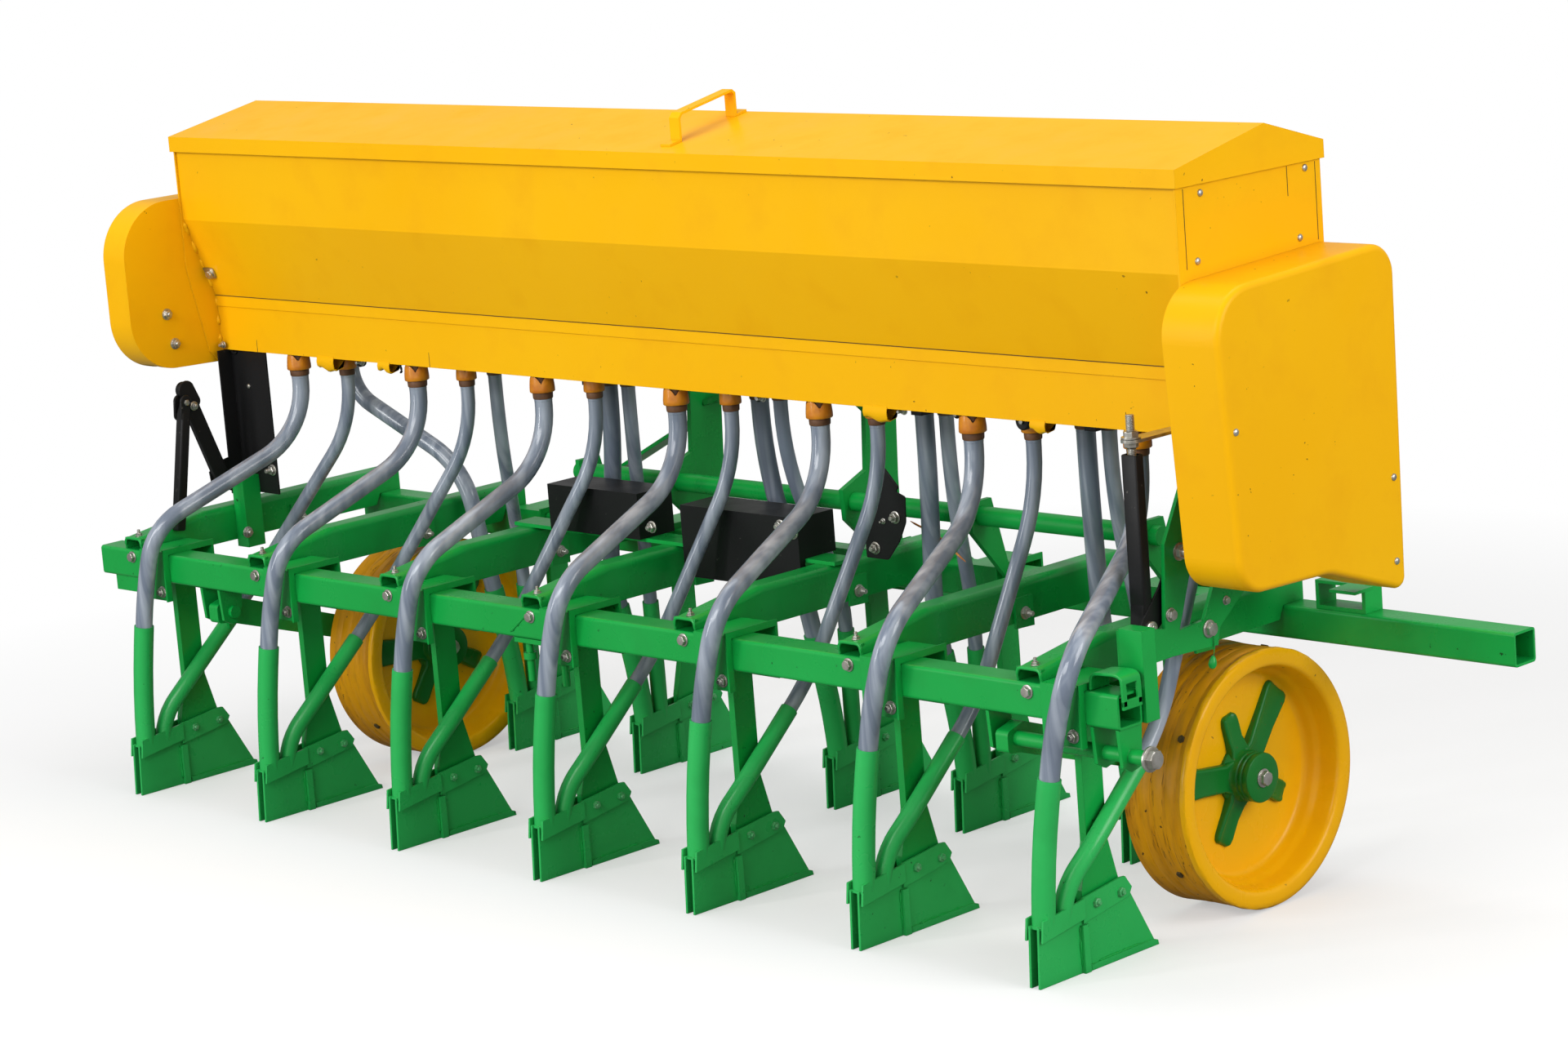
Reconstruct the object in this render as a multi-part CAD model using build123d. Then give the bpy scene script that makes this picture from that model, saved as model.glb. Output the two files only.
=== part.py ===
from build123d import *
import math
import os

# Tractor-mounted seed and fertiliser drill. Millimetres, +X to the drill's right, +Y the way it travels, +Z up.
# Everything is drawn about the rear toolbar's middle, on the ground; save() moves it to the drill's own middle.

# ---- frame ----
BAR = 65                    # square toolbars
BAR_WALL = 5
BAR_Z = 510                 # toolbar centre above the ground
FRONT_Y = 700
BAR_TOP = BAR_Z + BAR / 2
BAR_BOTTOM = BAR_Z - BAR / 2
PLATE = 6                   # bracket plate
ARM_DX = -52                # arm from its opener, clear of the clamp
ARM_W, ARM_H, ARM_WALL = 62, 54, 5
ARM_REAR_H = 27
ARM_TOP = BAR_TOP + ARM_H

# ---- openers ----
ROW_SPACING = 450
REAR_X = [ROW_SPACING * (i - 3) for i in range(7)]
FIRST_X, LAST_X = REAR_X[0], REAR_X[-1]
REAR_LEFT, REAR_RIGHT = FIRST_X - 170, LAST_X + 160
FRONT_LEFT, FRONT_RIGHT = FIRST_X - 86, LAST_X + 510
# the front row stands off the five inner rear rows by these
FRONT_SHIFT = [30, 0, 150, 70, 70]
FRONT_X = [x + shift for x, shift in zip(REAR_X[1:6], FRONT_SHIFT)]
SHANK_T, SHANK_W = 16, 55   # across and along the drill
SHANK_NOSE = BAR / 2 + SHANK_W
BOOT_PLATE = 5
BOOT_REAR, BOOT_TIP = -122, 195
SHARE_TIP = BOOT_TIP + 8
BLADE_Z = 150
FLARE_Z = 237
SEED_TUBE_R, FERT_TUBE_R = 19, 15
TUBE_FIT, PIPE_WALL = 0.3, 2.7
SEED_BORE_R, FERT_BORE_R = SEED_TUBE_R + TUBE_FIT, FERT_TUBE_R + TUBE_FIT
SEED_PIPE_R, FERT_PIPE_R = SEED_BORE_R + PIPE_WALL, FERT_BORE_R + PIPE_WALL
PIPE_FOOT_Z = 108
SOCKET = 36                 # depth of the bore in a pipe's mouth
CLAMP_LEFT, CLAMP_RIGHT = -16, 84
CLAMP_DROP, CLAMP_LIP = 40, 9
TUBE_GAP = 5.5              # between a tube and the clamp it passes

# ---- hopper ----
SHEET = 3
END_SHEET = 4
HOP_LEFT, HOP_RIGHT = FIRST_X - 57, LAST_X + 165
HOP_Y0, HOP_Y1 = 205, 608           # rear and front walls
HOP_TOP = 1440
FOLD_Z = 1257                       # where the walls turn inwards
TRAY_Y0, TRAY_Y1 = 276, 540
TRAY_TOP, TRAY_BOTTOM = 1076, 950
END_EDGE = 5                        # end plates past the walls
RIDGE_Y, RIDGE_Z = 450, HOP_TOP + 57
LID_GAP = 3
LID_BOTTOM = HOP_TOP - 28
LID_EAVE = HOP_TOP + 3
HINGE_Y, HINGE_Z = HOP_Y1 + END_EDGE + LID_GAP + SHEET + 7, HOP_TOP - 23
HINGE_X = [-1000, 54, 1108]
HINGE_R = 7

# ---- metering cups and tubes ----
CUP_STEP = ROW_SPACING - 39
SEED_CUP_X = [FIRST_X + 185 + CUP_STEP * i for i in range(7)]
SEED_CUP_Y = 306
FERT_CUP_X = [x + 112 for x in SEED_CUP_X]
FERT_CUP_Y = 352
FRONT_CUP_Y = 480
# seed cup and fertiliser cup of each front opener: how far right of it, and y
FRONT_CUP_SHIFTS = [
    ((-330, FRONT_CUP_Y), (172, FRONT_CUP_Y)),
    ((123, FRONT_CUP_Y), (177, FRONT_CUP_Y + 6)),
    ((-17, FRONT_CUP_Y), (37, FRONT_CUP_Y + 6)),
    ((78, FRONT_CUP_Y), (132, FRONT_CUP_Y + 6)),
    ((52, FRONT_CUP_Y), (106, FRONT_CUP_Y + 6)),
]
FRONT_CUPS = [[(x + dx, y) for dx, y in shifts] for x, shifts in zip(FRONT_X, FRONT_CUP_SHIFTS)]
CUP_WALL = 8
SEED_CUP_R, FERT_CUP_R = SEED_TUBE_R + CUP_WALL, FERT_TUBE_R + CUP_WALL
CUP_DEPTH = 55

# ---- wheels ----
WHEEL_R, WHEEL_W = 250, 150
WHEEL_Y = 500
RIM_R, STEP_R = WHEEL_R - 30, WHEEL_R - 45
DISH_X = 48                 # dish behind the outer rim
HUB_R = 48
AXLE_R = 15
BEARING_GAP = 0.05
WHEEL_OUT_RIGHT, WHEEL_OUT_LEFT = LAST_X + 60, FRONT_X[0] - 70
ARM_PLATE = (-205, -175)    # wheel arm, from the wheel's outer face
PIVOT_Y, PIVOT_Z, PIVOT_R = 2, 424, 14
# length, half width at the hub, half width at the end, turn in degrees
SPIDER_ARMS = [
    (STEP_R - 35, 17, 24, 62),
    (STEP_R - 45, 15, 20, 118),
    (STEP_R - 5, 24, 30, 178),
    (STEP_R - 35, 17, 19, 242),
    (HUB_R + 42, 17, 19, 318),
]


def block(x, y, z):
    """A box from three (low, high) pairs."""
    size = Box(x[1] - x[0], y[1] - y[0], z[1] - z[0])
    return Pos((x[0] + x[1]) / 2, (y[0] + y[1]) / 2, (z[0] + z[1]) / 2) * size


def side_plate(points, x0, x1, radius=0):
    """A plate outlined in (y, z), from x0 to x1, its corners rounded by radius."""
    outline = Polygon(*points, align=None)
    if radius:
        outline = fillet(outline.vertices(), radius)
    return extrude(Plane.YZ.offset(x0) * outline, x1 - x0, dir=(1, 0, 0))


def back_plate(points, y0, y1, radius=0):
    """A plate outlined in (x, z), from y0 to y1."""
    outline = Polygon(*points, align=None)
    if radius:
        outline = fillet(outline.vertices(), radius)
    return extrude(Plane.XZ.offset(-y1) * outline, y1 - y0, dir=(0, -1, 0))


def rounded(corners):
    """A face outlined in (y, z), each corner with its own radius."""
    outline = Polygon(*[(y, z) for y, z, _ in corners], align=None)
    for y, z, radius in corners:
        corner = outline.vertices().sort_by_distance((y, z, 0))[0]
        outline = fillet(corner, radius)
    return outline


def rod_x(x0, x1, y, z, r):
    return Pos((x0 + x1) / 2, y, z) * Rot(0, 90, 0) * Cylinder(r, x1 - x0)


def rod_z(z0, z1, x, y, r):
    return Pos(x, y, (z0 + z1) / 2) * Cylinder(r, z1 - z0)


def beam(start, end, width, depth):
    """A square-cut bar between two points, width across the drill."""
    a, b = Vector(*start), Vector(*end)
    plane = Plane(origin=a, x_dir=Vector(1, 0, 0), z_dir=b - a)
    return extrude(plane * Rectangle(width, depth), (b - a).length)


def joined(pieces):
    whole = pieces[0]
    for piece in pieces[1:]:
        whole += piece
    return whole


def tube_radii(points):
    """Arcs as large as the runs beside them allow: two share a run, and the last run stays straight in its socket."""
    vectors = [Vector(*p) for p in points]
    runs = [b - a for a, b in zip(vectors, vectors[1:])]
    room = [0.47 * run.length for run in runs]
    room[0] *= 1.9
    room[-1] = runs[-1].length - SOCKET - 4
    radii = []
    for before, after, room_before, room_after in zip(runs, runs[1:], room, room[1:]):
        turn = math.radians(before.get_angle(after))
        radii.append(min(room_before, room_after) / math.tan(turn / 2))
    return radii


def route(points):
    """Straight runs joined by arcs."""
    return FilletPolyline(*points, radius=tube_radii(points))


def pipe(points, radius):
    """Round bar along a route, as cylinders and parts of rings."""
    pieces = []
    for run in route(points).edges():
        disc = Plane(origin=run @ 0, z_dir=run % 0) * Circle(radius)
        if run.geom_type == GeomType.LINE:
            pieces.append(extrude(disc, run.length, dir=run % 0))
        else:
            turn_axis = (run % 0).cross(run % 1).normalized()
            turn = (run % 0).get_angle(run % 1)
            pieces.append(revolve(disc, Axis(run.arc_center, turn_axis), turn))
    return joined(pieces)


# ---------------------------------------------------------------- frame

def toolbar(x0, x1, y, wall_left):
    outer = extrude(Plane.YZ.offset(x0) * Pos(y, BAR_Z) * RectangleRounded(BAR, BAR, 7), x1 - x0)
    hollow = BAR - 2 * BAR_WALL
    inside = Plane.YZ.offset(x0 + wall_left) * Pos(y, BAR_Z) * RectangleRounded(hollow, hollow, 3)
    return outer - extrude(inside, x1 - x0 - wall_left)


def arm(x):
    """Inverted channel lying on both toolbars, its rear end low like an arch."""
    rear, front = -BAR / 2 + 6, FRONT_Y + BAR / 2 - 4
    drop = BAR_TOP - 26
    side = [
        (rear, BAR_TOP),
        (BAR / 2 + 1, BAR_TOP),
        (BAR / 2 + 14, drop),
        (FRONT_Y - BAR / 2 - 14, drop),
        (FRONT_Y - BAR / 2 - 1, BAR_TOP),
        (front, BAR_TOP),
        (front, ARM_TOP),
        (rear + 190, ARM_TOP),
        (rear, BAR_TOP + ARM_REAR_H),
    ]
    hollow = [
        (rear - 5, drop - 60),
        (front + 5, drop - 60),
        (front + 5, ARM_TOP - ARM_WALL),
        (rear + 190, ARM_TOP - ARM_WALL),
        (rear - 5, BAR_TOP + ARM_REAR_H - ARM_WALL - 1),
    ]
    half = ARM_W / 2
    body = side_plate(side, x - half, x + half)
    body = fillet(body.edges().filter_by(lambda e: is_arm_top_edge(e, x)), 14)
    body -= side_plate(hollow, x - half + ARM_WALL, x + half - ARM_WALL)
    ear = [(397, BAR_TOP + 24), (397, BAR_TOP - 36), (449, BAR_TOP - 38), (449, BAR_TOP + 24)]
    return body + side_plate(ear, x + half, x + half + PLATE)


def is_arm_top_edge(edge, x):
    middle = edge.center()
    return abs(middle.X - x) > ARM_W / 2 - 0.1 and middle.Z > BAR_TOP + ARM_REAR_H / 2 + 1 and edge.length > 150


def clamp(x, y):
    """Saddle over the toolbar that grips the shank, with a lip along its right edge."""
    x0, x1 = x + CLAMP_LEFT, x + CLAMP_RIGHT
    back = y - BAR / 2 - PLATE
    nose = y + SHANK_NOSE
    low = BAR_BOTTOM - CLAMP_DROP
    top = BAR_TOP + PLATE
    saddle = block((x0, x1), (back, back + PLATE), (low, top))
    saddle += block((x0, x1), (back, nose + PLATE), (BAR_TOP, top))
    saddle += block((x0, x1), (nose, nose + PLATE), (low, top))
    saddle += block((x1 - 4, x1), (back - CLAMP_LIP, back), (low, top))
    saddle += block((x1 - 4, x1), (back - CLAMP_LIP, nose + PLATE), (top, top + 7))
    return saddle


# ---------------------------------------------------------------- openers

def shank(x, y):
    """Flat tine that widens into the blade between the boot's plates."""
    rear, front = y + BAR / 2, y + SHANK_NOSE
    outline = [
        (rear, BAR_TOP),
        (rear, FLARE_Z),
        (rear - 22, BLADE_Z),
        (rear - 22, 24),
        (y + 152, 24),
        (y + 112, BLADE_Z),
        (front, FLARE_Z),
        (front, BAR_TOP),
    ]
    return side_plate(outline, x - SHANK_T / 2, x + SHANK_T / 2)


REAR_PIPES = {
    "seed": [(0, -88, PIPE_FOOT_Z), (6, -87, 230), (30, -80, 385)],
    "fert": [(4, -44, PIPE_FOOT_Z), (8, -34, 168), (29, 24, 236), (29, 160, 352)],
}
FRONT_PIPES = {
    "seed": [(0, -88, PIPE_FOOT_Z), (2, -96, 200), (7, -140, 385)],
    "fert": [(4, -44, PIPE_FOOT_Z), (8, -46, 180), (36, -74, 385)],
}


def socket(points, radius):
    """The bore that takes the tube in a drop pipe's mouth."""
    a, b = Vector(*points[-2]), Vector(*points[-1])
    along = (b - a).normalized()
    return extrude(Plane(origin=b - along * SOCKET, z_dir=along) * Circle(radius), SOCKET + 5)


def boot(pipes):
    """Furrow opener about its own toolbar: twin plates, clamp strips, share, seat and two drop pipes."""
    half = SHANK_T / 2
    outer = half + BOOT_PLATE
    cheek = [(BOOT_REAR, 0), (BOOT_TIP - 4, 0), (BOOT_TIP, 12), (138, 114), (126, 134), (BOOT_REAR + 6, 112)]
    front_strip = [(0, 93), (128, 112), (137, 128), (120, 152), (106, 153), (0, 140)]
    rear_strip = [(-117, 86), (2, 103), (2, 140), (-112, 126)]
    step = [(-1, 104), (3, 104), (3, 138), (-1, 138)]
    # outline, nearer face, farther face
    layers = [
        (cheek, half, outer),
        (front_strip, outer, outer + BOOT_PLATE),
        (rear_strip, outer + 4, outer + 9),
        (step, outer, outer + 9),
    ]
    pieces = []
    for sign in (-1, 1):
        for outline, near, far in layers:
            low, high = sorted((sign * near, sign * far))
            pieces.append(side_plate(outline, low, high))
        rib = [(-6, 0), (10, 0), (10, 90), (-6, 90)]
        low, high = sorted((sign * outer, sign * (outer + 8)))
        pieces.append(side_plate(rib, low, high))
    pieces.append(block((-outer - 4, outer + 4), (-112, -14), (PIPE_FOOT_Z, PIPE_FOOT_Z + 5)))
    share = [(14, 0), (SHARE_TIP, 0), (SHARE_TIP - 2, 9), (BOOT_TIP - 8, 13), (14, 11)]
    pieces.append(side_plate(share, -outer - 5, outer + 5))
    seed, fert = pipes["seed"], pipes["fert"]
    pieces.append(pipe(seed, SEED_PIPE_R))
    pieces.append(pipe(fert, FERT_PIPE_R))
    whole = joined(pieces)
    whole -= socket(seed, SEED_BORE_R)
    whole -= socket(fert, FERT_BORE_R)
    return whole - side_plate([(2, 24), (160, 24), (160, 400), (2, 400)], -half, half)


# ---------------------------------------------------------------- hopper

def wall(points, x0, x1, outward):
    """A folded sheet: points in (y, z), its thickness on the side of outward (+1 is +Y)."""
    thick = [(y - outward * SHEET, z) for y, z in reversed(points)]
    return side_plate(points + thick, x0, x1)


def hopper_rear():
    folds = [(HOP_Y0, HOP_TOP), (HOP_Y0, FOLD_Z), (TRAY_Y0 - SHEET, TRAY_TOP), (TRAY_Y0 - SHEET, TRAY_TOP - 26)]
    return wall(folds, HOP_LEFT + END_SHEET, HOP_RIGHT - END_SHEET, -1)


def hopper_front():
    folds = [(HOP_Y1, HOP_TOP), (HOP_Y1, FOLD_Z), (TRAY_Y1 + SHEET, TRAY_TOP), (TRAY_Y1 + SHEET, TRAY_TOP - 26)]
    return wall(folds, HOP_LEFT + END_SHEET, HOP_RIGHT - END_SHEET, 1)


def hopper_end(x):
    y0, y1 = HOP_Y0 - END_EDGE, HOP_Y1 + END_EDGE
    foot = TRAY_BOTTOM - 24
    outline = [
        (y0, HOP_TOP),
        (y0, 1145),
        (y0 + 42, TRAY_BOTTOM),
        (y0 + 64, foot),
        (y1 - 64, foot),
        (y1 - 42, TRAY_BOTTOM),
        (y1, 1145),
        (y1, HOP_TOP),
    ]
    return side_plate(outline, x, x + END_SHEET)


def feed_tray():
    x0, x1 = HOP_LEFT + END_SHEET, HOP_RIGHT - END_SHEET
    tray = block((x0, x1), (TRAY_Y0, TRAY_Y1), (TRAY_BOTTOM, TRAY_TOP))
    return tray - block((x0 - 1, x1 + 1), (TRAY_Y0 + SHEET, TRAY_Y1 - SHEET), (TRAY_BOTTOM + SHEET, TRAY_TOP + 1))


def cup(x, y, r):
    """Outlet under the tray, its face meeting the tube's top."""
    return rod_z(TRAY_BOTTOM - CUP_DEPTH, TRAY_BOTTOM, x, y, r)


TUBE_TOP = TRAY_BOTTOM - CUP_DEPTH


def into_pipe(pipe_points, x, y, reach):
    """The tube's last bend, above the pipe's mouth along its run, and its end inside the mouth."""
    a, b = Vector(*pipe_points[-2]), Vector(*pipe_points[-1])
    along = (b - a).normalized()
    shift = Vector(x, y, 0)
    low = b - along * (SOCKET - 6) + shift
    high = b + along * reach + shift
    return [(high.X, high.Y, high.Z), (low.X, low.Y, low.Z)]


def seed_route(cup_x, x):
    high, low = into_pipe(REAR_PIPES["seed"], x, 0, 80)
    past_clamp = (x + CLAMP_RIGHT + 8, -(BAR / 2 + PLATE + CLAMP_LIP + SEED_TUBE_R + TUBE_GAP), 612)
    return [(cup_x, SEED_CUP_Y, TUBE_TOP), (cup_x, SEED_CUP_Y, 770), past_clamp, high, low]


def fert_route(cup_x, x):
    high, low = into_pipe(REAR_PIPES["fert"], x, 0, 90)
    return [(cup_x, FERT_CUP_Y, TUBE_TOP), (cup_x, FERT_CUP_Y, 790), high, low]


def front_routes(cups, x):
    (sx, sy), (fx, fy) = cups
    seed_high, seed_low = into_pipe(FRONT_PIPES["seed"], x, FRONT_Y, 90)
    fert_high, fert_low = into_pipe(FRONT_PIPES["fert"], x, FRONT_Y, 90)
    bend = [(sx, sy, 770)]
    if sx < x - ROW_SPACING / 2:
        # from the far side of an arm: over it, then down
        bend = [(sx, sy, 830), (x - 36, sy + 60, 664)]
    seed = [(sx, sy, TUBE_TOP)] + bend + [seed_high, seed_low]
    fert = [(fx, fy, TUBE_TOP), (fx, fy, 760), fert_high, fert_low]
    return seed, fert


# ---------------------------------------------------------------- lid

def roof_z(y, under=0):
    """Height of the lid's top over y, or of its underside."""
    eave = HOP_Y0 - END_EDGE - LID_GAP - SHEET if y < RIDGE_Y else HINGE_Y - 7
    return LID_EAVE + SHEET + (RIDGE_Z - LID_EAVE - SHEET) * (y - eave) / (RIDGE_Y - eave) - under


def lid():
    y0, y1 = HOP_Y0 - END_EDGE - LID_GAP, HOP_Y1 + END_EDGE + LID_GAP
    x0, x1 = HOP_LEFT - LID_GAP - SHEET, HOP_RIGHT + LID_GAP + SHEET
    outside = [
        (y0 - SHEET, LID_BOTTOM),
        (y1 + SHEET, LID_BOTTOM),
        (y1 + SHEET, LID_EAVE + SHEET),
        (RIDGE_Y, RIDGE_Z),
        (y0 - SHEET, LID_EAVE + SHEET),
    ]
    inside = [(y0, LID_BOTTOM - 1), (y1, LID_BOTTOM - 1), (y1, LID_EAVE), (RIDGE_Y, RIDGE_Z - SHEET), (y0, LID_EAVE)]
    shell = side_plate(outside, x0, x1) - side_plate(inside, x0 + SHEET, x1 - SHEET)
    for x in HINGE_X:
        shell += rod_x(x - 15, x + 15, HINGE_Y, HINGE_Z, HINGE_R)
        shell += block((x - 15, x + 15), (y1, HINGE_Y), (HINGE_Z, HINGE_Z + HINGE_R))
        shell -= rod_x(x - 16, x + 16, HINGE_Y, HINGE_Z, 4 + BEARING_GAP)
    return shell


def hinge(x):
    """Leaf on the hopper's front wall with two knuckles and the pin through the lid's knuckle."""
    low, high = HINGE_Z - 13, HINGE_Z - 9
    whole = block((x - 42, x + 42), (HOP_Y1, HOP_Y1 + 3), (HINGE_Z - 57, high))
    for x0, x1 in ((x - 42, x - 16), (x + 16, x + 42)):
        whole += block((x0, x1), (HOP_Y1, HINGE_Y), (low, high))
        whole += rod_x(x0, x1, HINGE_Y, HINGE_Z, 6.5)
        whole += block((x0, x1), (HINGE_Y - 3, HINGE_Y + 3), (low, HINGE_Z))
    return whole + rod_x(x - 42, x + 42, HINGE_Y, HINGE_Z, 4)


HANDLE_X = 180


def lid_handle():
    """Bent strap with outward feet on the rear slope."""
    y0, y1 = 262, 418
    outline = []
    # along the strap, above the roof: outer line then inner line
    for y, rise in [(y0 - 32, 0), (y0 - 32, 5), (y0 - 3, 5), (y0 - 3, 48), (y0 + 6, 57)]:
        outline.append((y, roof_z(y) + rise))
    for y, rise in [(y1 - 6, 57), (y1 + 3, 48), (y1 + 3, 5), (y1 + 30, 5), (y1 + 30, 0)]:
        outline.append((y, roof_z(y) + rise))
    for y, rise in [(y1 - 2, 0), (y1 - 2, 46), (y1 - 8, 52), (y0 + 8, 52), (y0 + 2, 46), (y0 + 2, 0)]:
        outline.append((y, roof_z(y) + rise))
    return side_plate(outline, HANDLE_X - 14, HANDLE_X + 14)


# ---------------------------------------------------------------- drives and covers

COVER_X0, COVER_X1 = HOP_RIGHT, HOP_RIGHT + 127
# y, z, radius of each corner
COVER_CORNERS = [(171, 690, 70), (134, 1240, 95), (655, 1262, 60), (645, 606, 22), (425, 682, 110)]


def chain_cover():
    """Deep pressed cover, open towards the hopper."""
    outline = rounded(COVER_CORNERS)
    plane = Plane.YZ.offset(COVER_X0)
    body = extrude(plane * outline, COVER_X1 - COVER_X0, dir=(1, 0, 0))
    body = fillet(body.faces().sort_by(Axis.X)[-1].edges(), 12)
    hollow = extrude(plane * offset(outline, -SHEET), COVER_X1 - COVER_X0 - SHEET, dir=(1, 0, 0))
    hollow = fillet(hollow.faces().sort_by(Axis.X)[-1].edges(), 12 - SHEET)
    return body - hollow


DRIVE_CORNERS = [(34, 932, 118), (34, 1306, 125), (400, 1306, 45), (420, 1130, 60), (300, 922, 30)]


def drive_housing():
    """Left drive's cover, closed towards the hopper's end by its own flat plate."""
    outline = rounded(DRIVE_CORNERS)
    x0, x1 = HOP_LEFT - 78, HOP_LEFT
    body = extrude(Plane.YZ.offset(x0) * outline, x1 - x0, dir=(1, 0, 0))
    hollow = extrude(Plane.YZ.offset(x0 + SHEET) * offset(outline, -SHEET), x1 - x0 - 2 * SHEET, dir=(1, 0, 0))
    slot = block((x0 + 18, x1 - 18), (100, 175), (900, 950))
    return body - hollow - slot


SHAFT_Y, SHAFT_Z, SHAFT_R = 415, 926, 10
BEARING_X = [-960, -300, 660, 1110]


def feed_shaft():
    shaft = rod_x(HOP_LEFT + END_SHEET, HOP_RIGHT - END_SHEET, SHAFT_Y, SHAFT_Z + 8, SHAFT_R)
    for x in BEARING_X:
        shaft += block((x - 14, x + 14), (SHAFT_Y - 22, SHAFT_Y + 22), (SHAFT_Z - 12, TRAY_BOTTOM))
    return shaft


# x0, x1, depth below the tray
FLAPS = [(-1100, -1010, 34), (-846, -800, 28), (610, 690, 32), (1060, 1110, 30)]


def flap(x0, x1, drop):
    """Bent tab on the tray's rear lower edge."""
    return block((x0, x1), (TRAY_Y0 - 2, TRAY_Y0), (TRAY_BOTTOM - drop, TRAY_BOTTOM + 14)) + back_plate(
        [(x0 + 10, TRAY_BOTTOM - drop), (x1 + 18, TRAY_BOTTOM - drop - 12), (x1, TRAY_BOTTOM - drop + 8)],
        TRAY_Y0 - 2, TRAY_Y0)


# ---------------------------------------------------------------- hitch

HITCH_X = 256
SHOULDER_X = 341.5          # half the spread of the lower link points
PIN_LENGTH = 44
PIN_COLLAR, PIN_COLLAR_R = 6, 17
LOW_PIN_R, PIN_SHANK_R, TOP_BORE_R = 11, 10, 9.75
TOP_PIN_Y = 806
LOW_PIN_Y, LOW_PIN_Z = 850, 470
TOP_PIN_Z = LOW_PIN_Z + 460
LUG_GAP, LUG = 24, 7
CROSS_Y, CROSS_Z, CROSS_R = 600, 670, 20


def hitch_mast(sign):
    """Upright on the front toolbar with its raked bar to the top link plate."""
    x0, x1 = sorted((sign * HITCH_X, sign * (HITCH_X + 12)))
    rear_face, front_face = FRONT_Y - BAR / 2, FRONT_Y + BAR / 2
    upright = [
        (rear_face, BAR_TOP),
        (CROSS_Y - 30, CROSS_Z - 34),
        (CROSS_Y - 34, CROSS_Z + 30),
        (CROSS_Y + 40, CROSS_Z + 60),
        (650, 872),
        (700, 900),
        (742, 880),
        (front_face, 700),
        (front_face, BAR_TOP),
    ]
    plate = side_plate(upright, x0, x1) - rod_x(x0 - 1, x1 + 1, CROSS_Y, CROSS_Z, CROSS_R)
    low = Vector(sign * (HITCH_X + 6), 706, 826)
    high = Vector(sign * 40, TOP_PIN_Y - 24, TOP_PIN_Z - 25)
    raked = extrude(Plane(origin=low, x_dir=Vector(0, 1, 0), z_dir=high - low) * Rectangle(50, 12), (high - low).length)
    a, b = sorted((sign * 34, sign * 46))
    head = side_plate(
        [
            (TOP_PIN_Y - 30, TOP_PIN_Z - 44),
            (TOP_PIN_Y + 32, TOP_PIN_Z - 44),
            (TOP_PIN_Y + 40, TOP_PIN_Z),
            (TOP_PIN_Y + 22, TOP_PIN_Z + 40),
            (TOP_PIN_Y - 22, TOP_PIN_Z + 40),
            (TOP_PIN_Y - 40, TOP_PIN_Z),
        ],
        a,
        b,
        8,
    )
    return plate + raked + (head - rod_x(a - 1, b + 1, TOP_PIN_Y, TOP_PIN_Z, TOP_BORE_R))


def low_lug(x0, x1):
    outline = [
        (FRONT_Y + BAR / 2, BAR_TOP - 4),
        (FRONT_Y + BAR / 2, BAR_BOTTOM - 34),
        (LOW_PIN_Y + 20, LOW_PIN_Z - 38),
        (LOW_PIN_Y + 38, LOW_PIN_Z - 10),
        (LOW_PIN_Y + 38, LOW_PIN_Z + 18),
        (LOW_PIN_Y + 10, LOW_PIN_Z + 42),
    ]
    return side_plate(outline, x0, x1)


def low_pin(sign, inner):
    """Shouldered pin: its shank in the lugs, its free end outwards for the link's ball."""
    spans = [
        (inner, SHOULDER_X, PIN_SHANK_R),
        (SHOULDER_X - PIN_COLLAR, SHOULDER_X, PIN_COLLAR_R),
        (SHOULDER_X, SHOULDER_X + PIN_LENGTH, LOW_PIN_R),
    ]
    rods = []
    for x0, x1, r in spans:
        a, b = sorted((sign * x0, sign * x1))
        rods.append(rod_x(a, b, LOW_PIN_Y, LOW_PIN_Z, r))
    return joined(rods)


# x0, x1 of each plate that carries the cross shaft from the front toolbar
SHAFT_PLATES = [(x, x + 12) for x in (FRONT_X[1] - 106, FRONT_X[3] + 92, FRONT_X[4] + 92)]


def shaft_plate(x0, x1):
    outline = [
        (FRONT_Y - BAR / 2, BAR_TOP - 20),
        (FRONT_Y - BAR / 2, BAR_TOP + 20),
        (CROSS_Y + 30, CROSS_Z + 32),
        (CROSS_Y - 32, CROSS_Z + 32),
        (CROSS_Y - 32, CROSS_Z - 30),
    ]
    return side_plate(outline, x0, x1) - rod_x(x0 - 1, x1 + 1, CROSS_Y, CROSS_Z, CROSS_R)


# ---------------------------------------------------------------- wheels

def wheel(outer_x, inward):
    """Pressed steel wheel turned about X; inward is the way from its outer face to its inner one."""
    section = [
        (0, WHEEL_R),
        (WHEEL_W, WHEEL_R),
        (WHEEL_W, WHEEL_R - 6),
        (6, WHEEL_R - 6),
        (6, RIM_R + 6),
        (26, RIM_R + 6),
        (26, STEP_R + 6),
        (DISH_X + 6, STEP_R + 6),
        (DISH_X + 6, 42),
        (112, 42),
        (112, AXLE_R + BEARING_GAP),
        (22, AXLE_R + BEARING_GAP),
        (22, 0),
        (12, 0),
        (12, HUB_R),
        (DISH_X, HUB_R),
        (DISH_X, STEP_R),
        (20, STEP_R),
        (20, RIM_R),
        (0, RIM_R),
    ]
    points = [(outer_x + inward * a, WHEEL_Y + r, WHEEL_R) for a, r in section]
    face = make_face(Polyline(*points, close=True))
    return revolve(face, Axis((0, WHEEL_Y, WHEEL_R), (1, 0, 0)), 360)


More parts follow.
